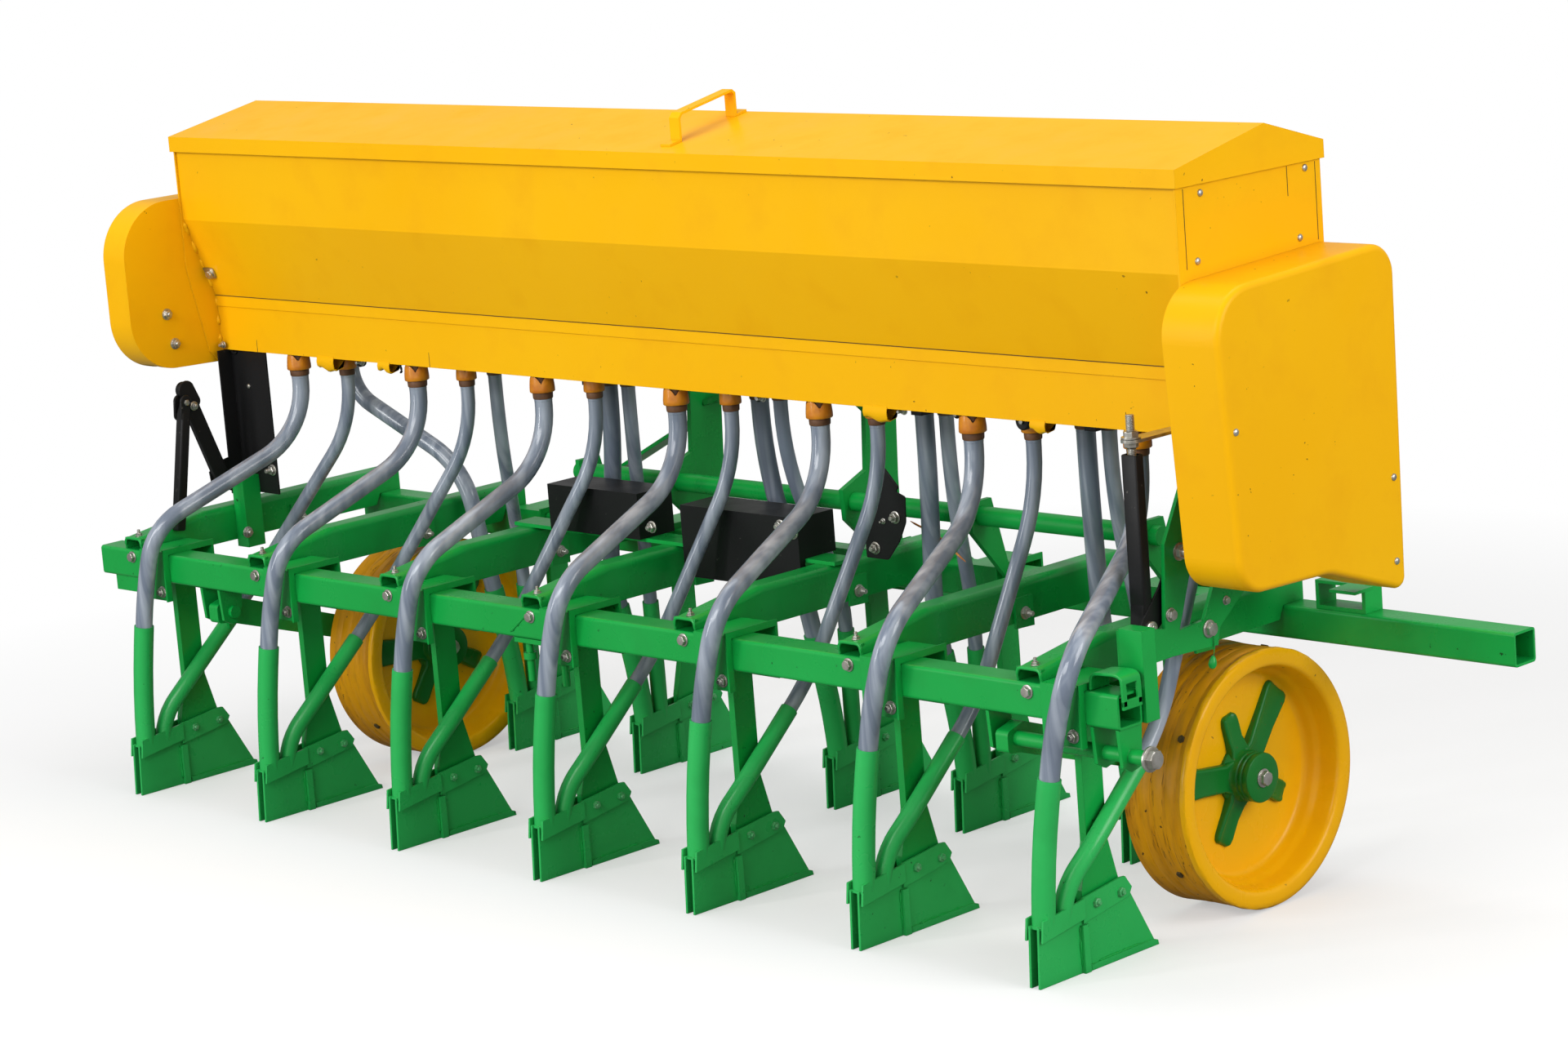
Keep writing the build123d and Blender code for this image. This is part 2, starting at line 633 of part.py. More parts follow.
def spider(outer_x, inward):
    """Five channel arms welded on the dish."""
    x_far = outer_x + inward * DISH_X
    x_near = x_far - inward * 12
    low, high = sorted((x_far, x_near))
    pieces = []
    for length, root, tip, turn in SPIDER_ARMS:
        outline = Polygon((HUB_R - 8, -root), (length, -tip), (length, tip), (HUB_R - 8, root), align=None)
        placed = Plane.YZ.offset(low) * Pos(WHEEL_Y, WHEEL_R) * Rot(0, 0, turn) * outline
        pieces.append(extrude(placed, high - low, dir=(1, 0, 0)))
    return joined(pieces) - rod_x(low - 1, high + 1, WHEEL_Y, WHEEL_R, HUB_R)


def wheel_arm(x0, x1, axle_to):
    """Arm from its pivot under the rear toolbar to the stub axle."""
    outline = [(-26, 400), (-26, 440), (20, 452), (WHEEL_Y + 34, WHEEL_R + 20), (WHEEL_Y + 34, WHEEL_R - 30), (6, 396)]
    body = side_plate(outline, x0, x1, 10)
    body -= rod_x(x0 - 1, x1 + 1, PIVOT_Y, PIVOT_Z, PIVOT_R + BEARING_GAP)
    start = x1 if axle_to > x1 else x0
    a, b = sorted((start, axle_to))
    return body + rod_x(a, b, WHEEL_Y, WHEEL_R, AXLE_R)


def pivot(x0, x1, plates):
    """Pivot rod and the lobed plates that hang it from the rear toolbar."""
    whole = rod_x(x0, x1, PIVOT_Y, PIVOT_Z, PIVOT_R)
    lobe = [(-30, BAR_BOTTOM), (-24, 408), (-2, 396), (26, 402), (32, BAR_BOTTOM)]
    for x in plates:
        whole += side_plate(lobe, x, x + 8)
    return whole


# ---------------------------------------------------------------- stands

STAND_X0, STAND_X1 = LAST_X + 104, LAST_X + 112
STAND_POST = 55
UPRIGHT_Y0 = BAR / 2 + 3.5
UPRIGHT_Y1 = UPRIGHT_Y0 + 36
JACK_X, JACK_Y = LAST_X + 80, 140

def stand_right():
    """Plate up from the right upright to the hopper's foot, with its raked leg."""
    outline = [
        (UPRIGHT_Y0 + 4, 535),
        (UPRIGHT_Y1, 478),
        (UPRIGHT_Y1, 560),
        (182, 562),
        (310, 556),
        (318, 588),
        (460, 690),
        (520, TRAY_BOTTOM),
        (440, TRAY_BOTTOM),
        (341, 732),
        (274, 610),
        (204, 606),
        (240, 700),
        (335, 800),
        (335, TRAY_BOTTOM),
        (280, TRAY_BOTTOM),
        (176, 770),
        (165, 617),
        (UPRIGHT_Y0 + 4, 640),
    ]
    return side_plate(outline, STAND_X0, STAND_X1)


def saddle_end():
    """Open bridge over the rear toolbar's right end."""
    x0, x1 = STAND_X0 - 16, STAND_X1 + STAND_POST
    bridge = block((x0, x1), (-30, 30), (BAR_TOP, BAR_TOP + 34))
    return bridge - block((x0 - 7, x1 + 1), (-24, 24), (BAR_TOP - 1, BAR_TOP + 28))


def cover_bridge():
    """Open bridge on the front toolbar, under the chain cover's foot."""
    y0, y1 = FRONT_Y - 26, FRONT_Y + 26
    x0, x1 = COVER_X0 - 112, COVER_X0 + 5
    bridge = block((x0, x1), (y0, y1), (BAR_TOP, BAR_TOP + 56))
    bridge -= block((x0 + 8, x1 - 8), (y0 - 1, y1 + 1), (BAR_TOP + 8, BAR_TOP + 50))
    lip = block((COVER_X0 - 35, COVER_X0 + 25), (618, y0), (BAR_TOP + 50, BAR_TOP + 56))
    return bridge + lip


def jack():
    """Screw jack from the stand plate to an eye on the feed tray."""
    tube = block((JACK_X - 20, JACK_X + 20), (JACK_Y - 12, JACK_Y + 12), (600, 940))
    tube += rod_x(JACK_X - 26, STAND_X0, JACK_Y, 622, 8)
    screw = rod_z(940, 1012, JACK_X, JACK_Y, 9) + rod_z(968, 982, JACK_X, JACK_Y, 14)
    eye = block((JACK_X - 18, JACK_X + 18), (JACK_Y - 20, TRAY_Y0), (962, 968)) - rod_z(960, 970, JACK_X, JACK_Y, 9)
    return [tube, screw, eye]


def centre_bracket():
    """Plate and gusset under the rear toolbar with two threaded studs."""
    plate = block((-112, 44), (-30, 31), (BAR_BOTTOM - 10, BAR_BOTTOM))
    gusset = back_plate([(-70, BAR_BOTTOM - 10), (30, BAR_BOTTOM - 10), (-20, BAR_BOTTOM - 62)], 20, 28)
    whole = plate + gusset
    for x in (-84, 20):
        whole += rod_z(BAR_BOTTOM - 92, BAR_BOTTOM - 10, x, -14, 8)
        whole += rod_z(BAR_BOTTOM - 46, BAR_BOTTOM - 32, x, -14, 14)
    return whole


def left_end_bracket():
    x0, x1 = REAR_LEFT + 38, REAR_LEFT + 136
    bracket = block((x0, x1), (-26, 26), (BAR_BOTTOM - 34, BAR_BOTTOM))
    return bracket - block((x0 - 1, x1 + 1), (-20, 20), (BAR_BOTTOM - 35, BAR_BOTTOM - 6))


def save(shape, name):
    """Writes one node, moved so that the drill's middle on the ground is the origin."""
    export_step(Pos(-ORIGIN_X, -ORIGIN_Y, 0) * shape, f"parts/{name}.step")


ORIGIN_X = (REAR_LEFT + FRONT_RIGHT) / 2
ORIGIN_Y = (BOOT_REAR + FRONT_Y + SHARE_TIP) / 2


def main():
    os.makedirs("parts", exist_ok=True)
    arm_x = [x + ARM_DX for x in REAR_X]
    save(toolbar(REAR_LEFT, REAR_RIGHT, 0, BAR_WALL), "toolbar_rear")
    save(toolbar(FRONT_LEFT, FRONT_RIGHT, FRONT_Y, 0), "toolbar_front")
    one_arm = arm(0)
    save(Compound([Pos(x, 0, 0) * one_arm for x in arm_x]), "toolbar_arms")
    one_clamp, one_shank = clamp(0, 0), shank(0, 0)
    rear_boot, front_boot = boot(REAR_PIPES), boot(FRONT_PIPES)
    for row, xs, y, one_boot in (("rear", REAR_X, 0, rear_boot), ("front", FRONT_X, FRONT_Y, front_boot)):
        save(Compound([Pos(x, y, 0) * one_clamp for x in xs]), f"opener_clamps_{row}")
        save(Compound([Pos(x, y, 0) * one_shank for x in xs]), f"opener_shanks_{row}")
        save(Compound([Pos(x, y, 0) * one_boot for x in xs]), f"opener_boots_{row}")

    save(hopper_rear(), "hopper_rear_sheet")
    save(hopper_front(), "hopper_front_sheet")
    save(Compound([hopper_end(HOP_LEFT), hopper_end(HOP_RIGHT - END_SHEET)]), "hopper_ends")
    save(feed_tray(), "feed_tray")
    seeds = [(x, SEED_CUP_Y) for x in SEED_CUP_X] + [c[0] for c in FRONT_CUPS]
    ferts = [(x, FERT_CUP_Y) for x in FERT_CUP_X] + [c[1] for c in FRONT_CUPS]
    cups = [cup(x, y, SEED_CUP_R) for x, y in seeds] + [cup(x, y, FERT_CUP_R) for x, y in ferts]
    save(Compound(cups), "metering_cups")

    tubes = {"seed_tubes_rear": [], "fertiliser_tubes_rear": [], "seed_tubes_front": [], "fertiliser_tubes_front": []}
    for i, x in enumerate(REAR_X):
        tubes["seed_tubes_rear"].append((seed_route(SEED_CUP_X[i], x), SEED_TUBE_R))
        tubes["fertiliser_tubes_rear"].append((fert_route(FERT_CUP_X[i], x), FERT_TUBE_R))
    for cups_at, x in zip(FRONT_CUPS, FRONT_X):
        seed, fert = front_routes(cups_at, x)
        tubes["seed_tubes_front"].append((seed, SEED_TUBE_R))
        tubes["fertiliser_tubes_front"].append((fert, FERT_TUBE_R))
    for name, routes in tubes.items():
        for points, radius in routes:
            length = route(points).length
            print(name, round(length), [round(r) for r in tube_radii(points)])
        save(Compound([pipe(points, radius) for points, radius in routes]), name)

    save(lid(), "hopper_lid")
    save(lid_handle(), "lid_handle")
    save(Compound([hinge(x) for x in HINGE_X]), "lid_hinges")
    save(chain_cover(), "chain_cover")
    save(drive_housing(), "drive_housing")
    save(feed_shaft(), "feed_shaft")
    save(Compound([flap(*row) for row in FLAPS]), "tray_flaps")

    masts = [hitch_mast(-1), hitch_mast(1)]
    save(Compound(masts), "hitch_mast")
    lugs = []
    pins = []
    for sign in (-1, 1):
        outer_lug = SHOULDER_X - PIN_COLLAR - LUG
        for x in (outer_lug - LUG_GAP - LUG, outer_lug):
            a, b = sorted((sign * x, sign * (x + LUG)))
            lugs.append(low_lug(a, b) - rod_x(a - 1, b + 1, LOW_PIN_Y, LOW_PIN_Z, PIN_SHANK_R + BEARING_GAP))
        pins.append(low_pin(sign, outer_lug - LUG_GAP - LUG - 20))
    save(Compound(lugs), "lower_link_lugs")
    save(Compound(pins), "hitch_pins")
    shaft_ends = SHAFT_PLATES[0][0] - 24, SHAFT_PLATES[-1][1] + 21
    save(rod_x(*shaft_ends, CROSS_Y, CROSS_Z, CROSS_R), "cross_shaft")
    save(Compound([shaft_plate(*row) for row in SHAFT_PLATES]), "cross_shaft_plates")
    brace = beam((-HITCH_X - 6, 690, 800), (-764, 690, 548), 8, 50)
    brace = brace - masts[0] - block((-1000, 0), (600, 750), (400, BAR_TOP))
    save(brace.solids().sort_by(SortBy.VOLUME)[-1], "mast_brace")

    strap_z = ARM_TOP
    save(block((arm_x[2] - 36, arm_x[4] + 36), (362, 422), (strap_z, strap_z + 8)), "cover_strap")
    left = block((-400, -120), (345, 445), (strap_z + 8, strap_z + 106))
    left -= block((-397, -123), (348, 442), (strap_z + 7, strap_z + 103))
    right = block((10, 352), (345, 450), (strap_z + 8, strap_z + 94))
    right += block((10, 352), (345, 360), (540, strap_z + 8))
    right -= block((13, 349), (360, 447), (strap_z + 7, strap_z + 91))
    save(Compound([left, right]), "drive_covers")

    save(wheel(WHEEL_OUT_RIGHT, -1), "wheel_right")
    save(wheel(WHEEL_OUT_LEFT, -1), "wheel_left")
    save(spider(WHEEL_OUT_RIGHT, -1), "wheel_spider_right")
    save(spider(WHEEL_OUT_LEFT, -1), "wheel_spider_left")
    right, left = WHEEL_OUT_RIGHT, WHEEL_OUT_LEFT
    save(wheel_arm(right + ARM_PLATE[0], right + ARM_PLATE[1], right - 24), "wheel_arm_right")
    save(wheel_arm(left + ARM_PLATE[0], left + ARM_PLATE[1], left - 24), "wheel_arm_left")
    right_pivot = pivot(right - 230, right + 135, [right - 222, right + 30, right + 90])
    save(Compound([right_pivot, pivot(left - 235, left - 145, [left - 225, left - 163])]), "wheel_pivots")

    post_x = arm_x[0] + ARM_W / 2
    panel_x = post_x - 18
    panel = block((panel_x, panel_x + 127), (288, 292), (620, TRAY_BOTTOM))
    panel += block((panel_x, panel_x + 4), (250, 292), (620, TRAY_BOTTOM))
    lug = [(252, 625), (252, 705), (222, 700), (192, 680), (195, 655), (220, 640)]
    save(panel + side_plate(lug, panel_x, panel_x + 4), "stand_panel_left")
    save(block((post_x, post_x + 40), (240, 288), (500, 662)), "stand_post_left")
    crank = beam((panel_x + 11, 222, 655), (panel_x + 11, 138, 880), 14, 38)
    rod = beam((panel_x + 30, 70, 570), (panel_x + 30, 122, 858), 24, 26)
    save(Compound([crank, rod]), "linkage_left")
    save(stand_right(), "stand_plate_right")
    save(block((STAND_X1, STAND_X1 + STAND_POST), (UPRIGHT_Y0, UPRIGHT_Y1), (478, 645)), "upright_right")
    save(Compound(jack()), "screw_jack")
    save(saddle_end(), "toolbar_end_saddle")
    save(cover_bridge(), "cover_bridge")
    save(Compound([centre_bracket(), left_end_bracket()]), "under_bar_brackets")
    print("wrote", len(os.listdir("parts")))


if __name__ == "__main__":
    main()
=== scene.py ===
import math
import random

import bmesh
import bpy
from mathutils import Matrix, Vector


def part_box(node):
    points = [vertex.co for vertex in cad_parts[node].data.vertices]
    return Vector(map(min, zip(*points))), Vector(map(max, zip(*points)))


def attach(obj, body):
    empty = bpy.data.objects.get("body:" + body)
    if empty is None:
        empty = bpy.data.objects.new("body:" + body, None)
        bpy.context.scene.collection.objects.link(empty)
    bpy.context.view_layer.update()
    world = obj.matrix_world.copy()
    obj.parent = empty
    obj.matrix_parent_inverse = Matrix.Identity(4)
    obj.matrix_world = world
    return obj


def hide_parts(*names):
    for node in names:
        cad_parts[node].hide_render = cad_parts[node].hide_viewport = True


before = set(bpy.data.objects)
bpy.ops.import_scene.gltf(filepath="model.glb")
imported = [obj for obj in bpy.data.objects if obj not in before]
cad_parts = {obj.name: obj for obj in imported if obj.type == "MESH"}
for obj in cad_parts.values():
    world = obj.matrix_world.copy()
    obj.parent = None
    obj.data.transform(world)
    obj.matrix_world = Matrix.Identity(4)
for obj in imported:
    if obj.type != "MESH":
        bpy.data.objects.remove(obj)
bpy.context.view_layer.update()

# Places below are in millimetres about the middle opener of the rear toolbar, on the ground, and at() puts them in the
# row frame, which is in metres.
BAR_LOW, BAR_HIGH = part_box("toolbar_rear")
BAR_LEFT = -1520
ORIGIN = Vector((BAR_LOW.x - BAR_LEFT / 1000, (BAR_LOW.y + BAR_HIGH.y) / 2, 0))
BAR_BACK = -32.5
ROW_SPACING = 450
REAR_X = [ROW_SPACING * (i - 3) for i in range(7)]
FRONT_X = [-870, -450, 150, 520, 970]
FRONT_Y = 700
ARM_X = [x - 52 for x in REAR_X]


def at(x, y, z):
    return ORIGIN + Vector((x, y, z)) / 1000


# ---------------------------------------------------------------- materials

def srgb(r, g, b):
    """Linear colour of an 8-bit screen colour."""
    linear = []
    for c in (r, g, b):
        c /= 255
        linear.append(c / 12.92 if c <= 0.04045 else ((c + 0.055) / 1.055) ** 2.4)
    return (*linear, 1)


class Maker:
    """Builds one node material; sockets are passed by name, links by handing over an output."""

    def __init__(self, name):
        self.material = bpy.data.materials.new(name)
        self.material.use_nodes = True
        self.tree = self.material.node_tree
        self.shader = self.tree.nodes["Principled BSDF"]
        self.place = self.add("ShaderNodeTexCoord").outputs["Object"]

    def add(self, kind, settings=None, **inputs):
        made = self.tree.nodes.new(kind)
        for key, value in (settings or {}).items():
            setattr(made, key, value)
        for key, value in inputs.items():
            self.put(made.inputs[key.replace("_", " ")], value)
        return made

    def put(self, socket, value):
        if isinstance(value, bpy.types.NodeSocket):
            self.tree.links.new(value, socket)
        else:
            socket.default_value = value

    def set(self, **inputs):
        for key, value in inputs.items():
            self.put(self.shader.inputs[key.replace("_", " ")], value)

    def noise(self, scale, detail=3, stretch=None, rough=0.55):
        place = self.place
        if stretch:
            place = self.add("ShaderNodeMapping", Vector=place, Scale=stretch).outputs[0]
        return self.add("ShaderNodeTexNoise", Vector=place, Scale=scale, Detail=detail, Roughness=rough).outputs[0]

    def ramp(self, value, low, high, to_low=0.0, to_high=1.0):
        made = self.add("ShaderNodeMapRange", Value=value)
        made.inputs["From Min"].default_value = low
        made.inputs["From Max"].default_value = high
        made.inputs["To Min"].default_value = to_low
        made.inputs["To Max"].default_value = to_high
        return made.outputs[0]

    def math(self, kind, a, b=0.0):
        made = self.add("ShaderNodeMath", {"operation": kind})
        self.put(made.inputs[0], a)
        self.put(made.inputs[1], b)
        return made.outputs[0]

    def mix(self, amount, a, b):
        return self.add("ShaderNodeMixRGB", Fac=amount, Color1=a, Color2=b).outputs[0]

    def edge(self, radius, low, high):
        """1 along outer and inner edges, 0 on flat sheet."""
        rounded = self.add("ShaderNodeBevel", {"samples": 4}, Radius=radius).outputs[0]
        facing = self.add("ShaderNodeNewGeometry").outputs["Normal"]
        dot = self.add("ShaderNodeVectorMath", {"operation": "DOT_PRODUCT"})
        self.put(dot.inputs[0], rounded)
        self.put(dot.inputs[1], facing)
        return self.ramp(dot.outputs["Value"], high, low)

    def bump(self, height, strength, distance, radius=0.0015):
        base = self.add("ShaderNodeBevel", {"samples": 4}, Radius=radius).outputs[0]
        made = self.add("ShaderNodeBump", Height=height, Strength=strength, Distance=distance, Normal=base)
        self.set(Normal=made.outputs[0])


def paint(name, base, light, dark, chip, rough=(0.3, 0.44), chips=0.72, gloss=0.2, corner_shade=(0.03, 0.02, 0.01, 1)):
    """Brushed and sprayed machine enamel: uneven tone, thin edges, specks, and painted shade in the corners and
    recesses.
    """
    m = Maker(name)
    broad = m.noise(1.6, 3)
    cloud = m.noise(9.0, 4)
    tone = m.mix(m.ramp(broad, 0.35, 0.7), base, light)
    tone = m.mix(m.ramp(cloud, 0.52, 0.8, 0, 0.35), tone, dark)
    specks = m.ramp(m.noise(75.0, 2), chips, chips + 0.03)
    patchy = m.ramp(m.noise(4.0, 2), 0.45, 0.6)
    tone = m.mix(m.math("MULTIPLY", specks, patchy), tone, chip)
    worn = m.math("MULTIPLY", m.edge(0.003, 0.9, 0.98), m.ramp(m.noise(30.0, 3), 0.55, 0.66, 0, 0.5))
    tone = m.mix(worn, tone, dark)
    # painted shade: darker towards the last colour wherever ambient occlusion finds corners and recesses
    corner = m.add("ShaderNodeAmbientOcclusion", {"samples": 4}, Distance=0.045).outputs["AO"]
    tone = m.mix(m.ramp(corner, 0.55, 0.1, 0, 0.5), tone, corner_shade)
    m.set(Base_Color=tone, Roughness=m.ramp(cloud, 0.3, 0.75, *rough), Specular_IOR_Level=gloss)
    m.bump(m.math("ADD", m.noise(160.0, 2), m.math("MULTIPLY", m.noise(12.0, 2), 2.5)), 0.25, 0.0006)
    return m.material


def hose(name, base, light, dark):
    """Clear-skinned grey hose: long pale streaks painted in as highlights, soft gloss."""
    m = Maker(name)
    sheen_streak = m.noise(60.0, 2, stretch=(1, 0.3, 0.04))
    cloud = m.noise(6.0, 3)
    # painted highlight: pale lengthwise streaks in the light colour
    tone = m.mix(m.ramp(sheen_streak, 0.4, 0.66), base, light)
    tone = m.mix(m.ramp(cloud, 0.45, 0.75, 0, 0.6), tone, dark)
    m.set(Base_Color=tone, Roughness=m.ramp(cloud, 0.3, 0.8, 0.18, 0.28), Coat_Weight=0.3, Coat_Roughness=0.1)
    m.bump(m.noise(40.0, 2, stretch=(1, 0.4, 0.06)), 0.12, 0.001)
    return m.material


def plain(name, base, dark, rough, metal=0.0, scale=40.0, bump=0.3, coat=0.0):
    """Small fittings: tone, grain and painted shade in the corners."""
    m = Maker(name)
    cloud = m.noise(scale, 4)
    tone = m.mix(m.ramp(cloud, 0.42, 0.72), base, dark)
    # painted shade: darker towards near-black wherever ambient occlusion finds corners
    corner = m.add("ShaderNodeAmbientOcclusion", {"samples": 4}, Distance=0.012).outputs["AO"]
    tone = m.mix(m.ramp(corner, 0.6, 0.15, 0, 0.6), tone, (0.01, 0.01, 0.01, 1))
    m.set(Base_Color=tone, Metallic=metal, Roughness=m.ramp(cloud, 0.3, 0.75, rough, rough + 0.2), Coat_Weight=coat)
    m.bump(m.noise(scale * 5, 3), bump, 0.0004, 0.0008)
    return m.material


YELLOW = paint(
    "yellow_enamel", srgb(250, 184, 8), srgb(252, 190, 14), srgb(238, 166, 6), srgb(120, 82, 20),
    chips=0.74, gloss=0.12)
# the last entry colours the painted shade in the corners
GREEN_FINISH = {"rough": (0.24, 0.38), "chips": 0.72, "gloss": 0.4, "corner_shade": (0.001, 0.02, 0.005, 1)}
GREEN = paint(
    "green_enamel", srgb(9, 158, 63), srgb(20, 172, 74), srgb(3, 131, 47), srgb(6, 70, 25), **GREEN_FINISH)
# a paler copy of the bar green for the openers: painted light, for the light the floor throws up onto them
BOUNCE_LIT_GREEN = paint(
    "opener_enamel_bounce_lit", srgb(36, 178, 84), srgb(50, 190, 95), srgb(20, 150, 65), srgb(6, 70, 25), **GREEN_FINISH)
BLACK = paint(
    "black_enamel", srgb(20, 20, 21), srgb(27, 27, 28), srgb(12, 12, 12), srgb(80, 78, 74),
    rough=(0.36, 0.5), chips=0.73, gloss=0.25, corner_shade=(0.002, 0.002, 0.002, 1))
# the second colour is the painted highlight of the hose's streaks
HOSE = hose("grey_hose_skin", srgb(120, 131, 148), srgb(168, 177, 190), srgb(98, 108, 124))
PLASTIC = plain("orange_moulding", srgb(222, 138, 10), srgb(196, 108, 6), 0.35, coat=0.15)
COLLAR = plain("brown_collar", srgb(112, 74, 46), srgb(82, 52, 30), 0.45)
ZINC = plain("zinc_plate", srgb(205, 203, 196), srgb(150, 146, 134), 0.28, metal=0.9)
BY_SLOT = {
    "yellow_paint": YELLOW, "green_paint": GREEN, "black_paint": BLACK,
    "grey_hose": HOSE, "orange_plastic": PLASTIC, "zinc_steel": ZINC,
}


def dress_cad_nodes():
    for node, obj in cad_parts.items():
        for material_slot in obj.material_slots:
            slot_name = material_slot.material.name.split(".")[0] if material_slot.material else ""
            # the openers take the paler green that carries the painted bounce light
            finish = BOUNCE_LIT_GREEN if node.startswith("opener_boots") else BY_SLOT.get(slot_name, GREEN)
            material_slot.material = finish


dress_cad_nodes()


def tread_paint():
    """Rolled band of a wheel: scuffed enamel with cracks that run round it; the seam of the angle is at the bottom."""
    m = Maker("tread_enamel")
    parts = m.add("ShaderNodeSeparateXYZ", Vector=m.place).outputs
    y = m.math("SUBTRACT", parts["Y"], WHEEL_Y)
    z = m.math("SUBTRACT", parts["Z"], WHEEL_Z)
    around = m.math("MULTIPLY", m.math("ARCTAN2", y, z), WHEEL_Z)
    rolled = m.add("ShaderNodeCombineXYZ", X=parts["X"], Y=around, Z=0.0).outputs[0]

    def noise(scale, detail, stretch):
        place = m.add("ShaderNodeMapping", Vector=rolled, Scale=stretch).outputs[0]
        return m.add("ShaderNodeTexNoise", Vector=place, Scale=scale, Detail=detail, Roughness=0.6).outputs[0]

    grain = noise(26.0, 4, (3, 0.5, 1))
    thin = m.math("ABSOLUTE", m.math("SUBTRACT", noise(11.0, 4, (4.0, 0.22, 1)), 0.5))
    broken = m.ramp(noise(9.0, 3, (1, 0.5, 1)), 0.5, 0.56)
    crack = m.math("MULTIPLY", m.ramp(thin, 0.008, 0.0), broken)
    worn = m.ramp(noise(3.2, 4, (2.0, 0.5, 1)), 0.42, 0.62)
    tone = m.mix(worn, srgb(226, 156, 8), srgb(176, 112, 10))
    tone = m.mix(m.ramp(grain, 0.5, 0.8, 0, 0.45), tone, srgb(128, 82, 16))
    tone = m.mix(m.ramp(noise(45.0, 2, (1, 1, 1)), 0.68, 0.72), tone, srgb(70, 48, 16))
    tone = m.mix(crack, tone, srgb(60, 38, 10))
    m.set(Base_Color=tone, Roughness=m.ramp(grain, 0.3, 0.8, 0.36, 0.55), Specular_IOR_Level=0.25)
    m.bump(m.math("SUBTRACT", grain, m.math("MULTIPLY", crack, 3.0)), 0.4, 0.0015)
    return m.material


WHEEL_LOW, WHEEL_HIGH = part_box("wheel_right")
WHEEL_Y = (WHEEL_LOW.y + WHEEL_HIGH.y) / 2
WHEEL_Z = (WHEEL_LOW.z + WHEEL_HIGH.z) / 2
TREAD = tread_paint()
PAINTED_BOLT = plain("painted_bolt", srgb(60, 176, 98), srgb(120, 180, 130), 0.35, scale=120.0, coat=0.2)
WHEEL_GREEN = paint(
    "hub_enamel", srgb(10, 104, 34), srgb(18, 120, 42), srgb(6, 78, 24), srgb(90, 84, 24),
    rough=(0.26, 0.42), chips=0.7, gloss=0.35, corner_shade=(0.001, 0.02, 0.004, 1))
WHEEL_YELLOW = paint(
    "wheel_enamel", srgb(252, 182, 4), srgb(254, 190, 8), srgb(236, 158, 4), srgb(110, 74, 20),
    rough=(0.22, 0.36), chips=0.73, gloss=0.25)
TREAD_STUD = plain("rusty_stud", srgb(96, 80, 40), srgb(50, 40, 24), 0.5, metal=0.3)
# dark brown for the painted shade in slits, seams and gaps
SLIT_SHADE = plain("slit_and_seam_shade", srgb(70, 45, 12), srgb(30, 20, 8), 0.7)
RED = plain("red_mark", srgb(170, 40, 40), srgb(120, 30, 30), 0.5)

# ---------------------------------------------------------------- mesh code

MM = 0.001
# turns for plates drawn in X and Y: one stands across the drill with its thickness to the back, one stands fore and aft
# with its thickness to the right
ACROSS = Matrix(((1, 0, 0, 0), (0, 0, -1, 0), (0, 1, 0, 0), (0, 0, 0, 1)))
FORE_AND_AFT = Matrix(((0, 0, 1, 0), (1, 0, 0, 0), (0, 1, 0, 0), (0, 0, 0, 1)))


def facing(place, axis, roll=0.0):
    """Matrix that puts a piece drawn about +Z at place, pointing along axis."""
    turn = Vector(axis).normalized().to_track_quat("Z", "Y").to_matrix().to_4x4()
    return Matrix.Translation(place) @ turn @ Matrix.Rotation(roll, 4, "Z")


def corner_curve(before, corner, after, radius, share, steps):
    """Points of a curve in place of a corner, from and to radius away, or share of the side where that is less."""
    a, b = before - corner, after - corner
    start = corner + a.normalized() * min(radius, a.length * share)
    end = corner + b.normalized() * min(radius, b.length * share)
    out = []
    for k in range(steps + 1):
        t = k / steps
        out.append(start * (1 - t) ** 2 + corner * (2 * t * (1 - t)) + end * t ** 2)
    return out


def soft_outline(points, radius, steps=4):
    """Outline with its corners rounded; radius is in the outline's own units."""
    out = []
    count = len(points)
    for i in range(count):
        before, corner, after = (Vector(points[(i + k) % count]) for k in (-1, 0, 1))
        out += corner_curve(before, corner, after, radius, 0.45, steps)
    return out


def bend(points, radius, steps=5):
    """Open line with its inner corners rounded, millimetres in, row frame metres out."""
    places = [at(*p) for p in points]
    out = [places[0]]
    for before, corner, after in zip(places, places[1:], places[2:]):
        out += corner_curve(before, corner, after, radius * MM, 0.48, steps)
    return out + [places[-1]]


def stadium(a, b, r0, r1, steps=10):
    """Link outline round two centres, each with its own radius."""
    a, b = Vector(a), Vector(b)
    base = math.atan2(b.y - a.y, b.x - a.x)
    out = []
    for centre, radius, start in ((b, r1, base - math.pi / 2), (a, r0, base + math.pi / 2)):
        for k in range(steps + 1):
            angle = start + math.pi * k / steps
            out.append(centre + Vector((math.cos(angle), math.sin(angle))) * radius)
    return out


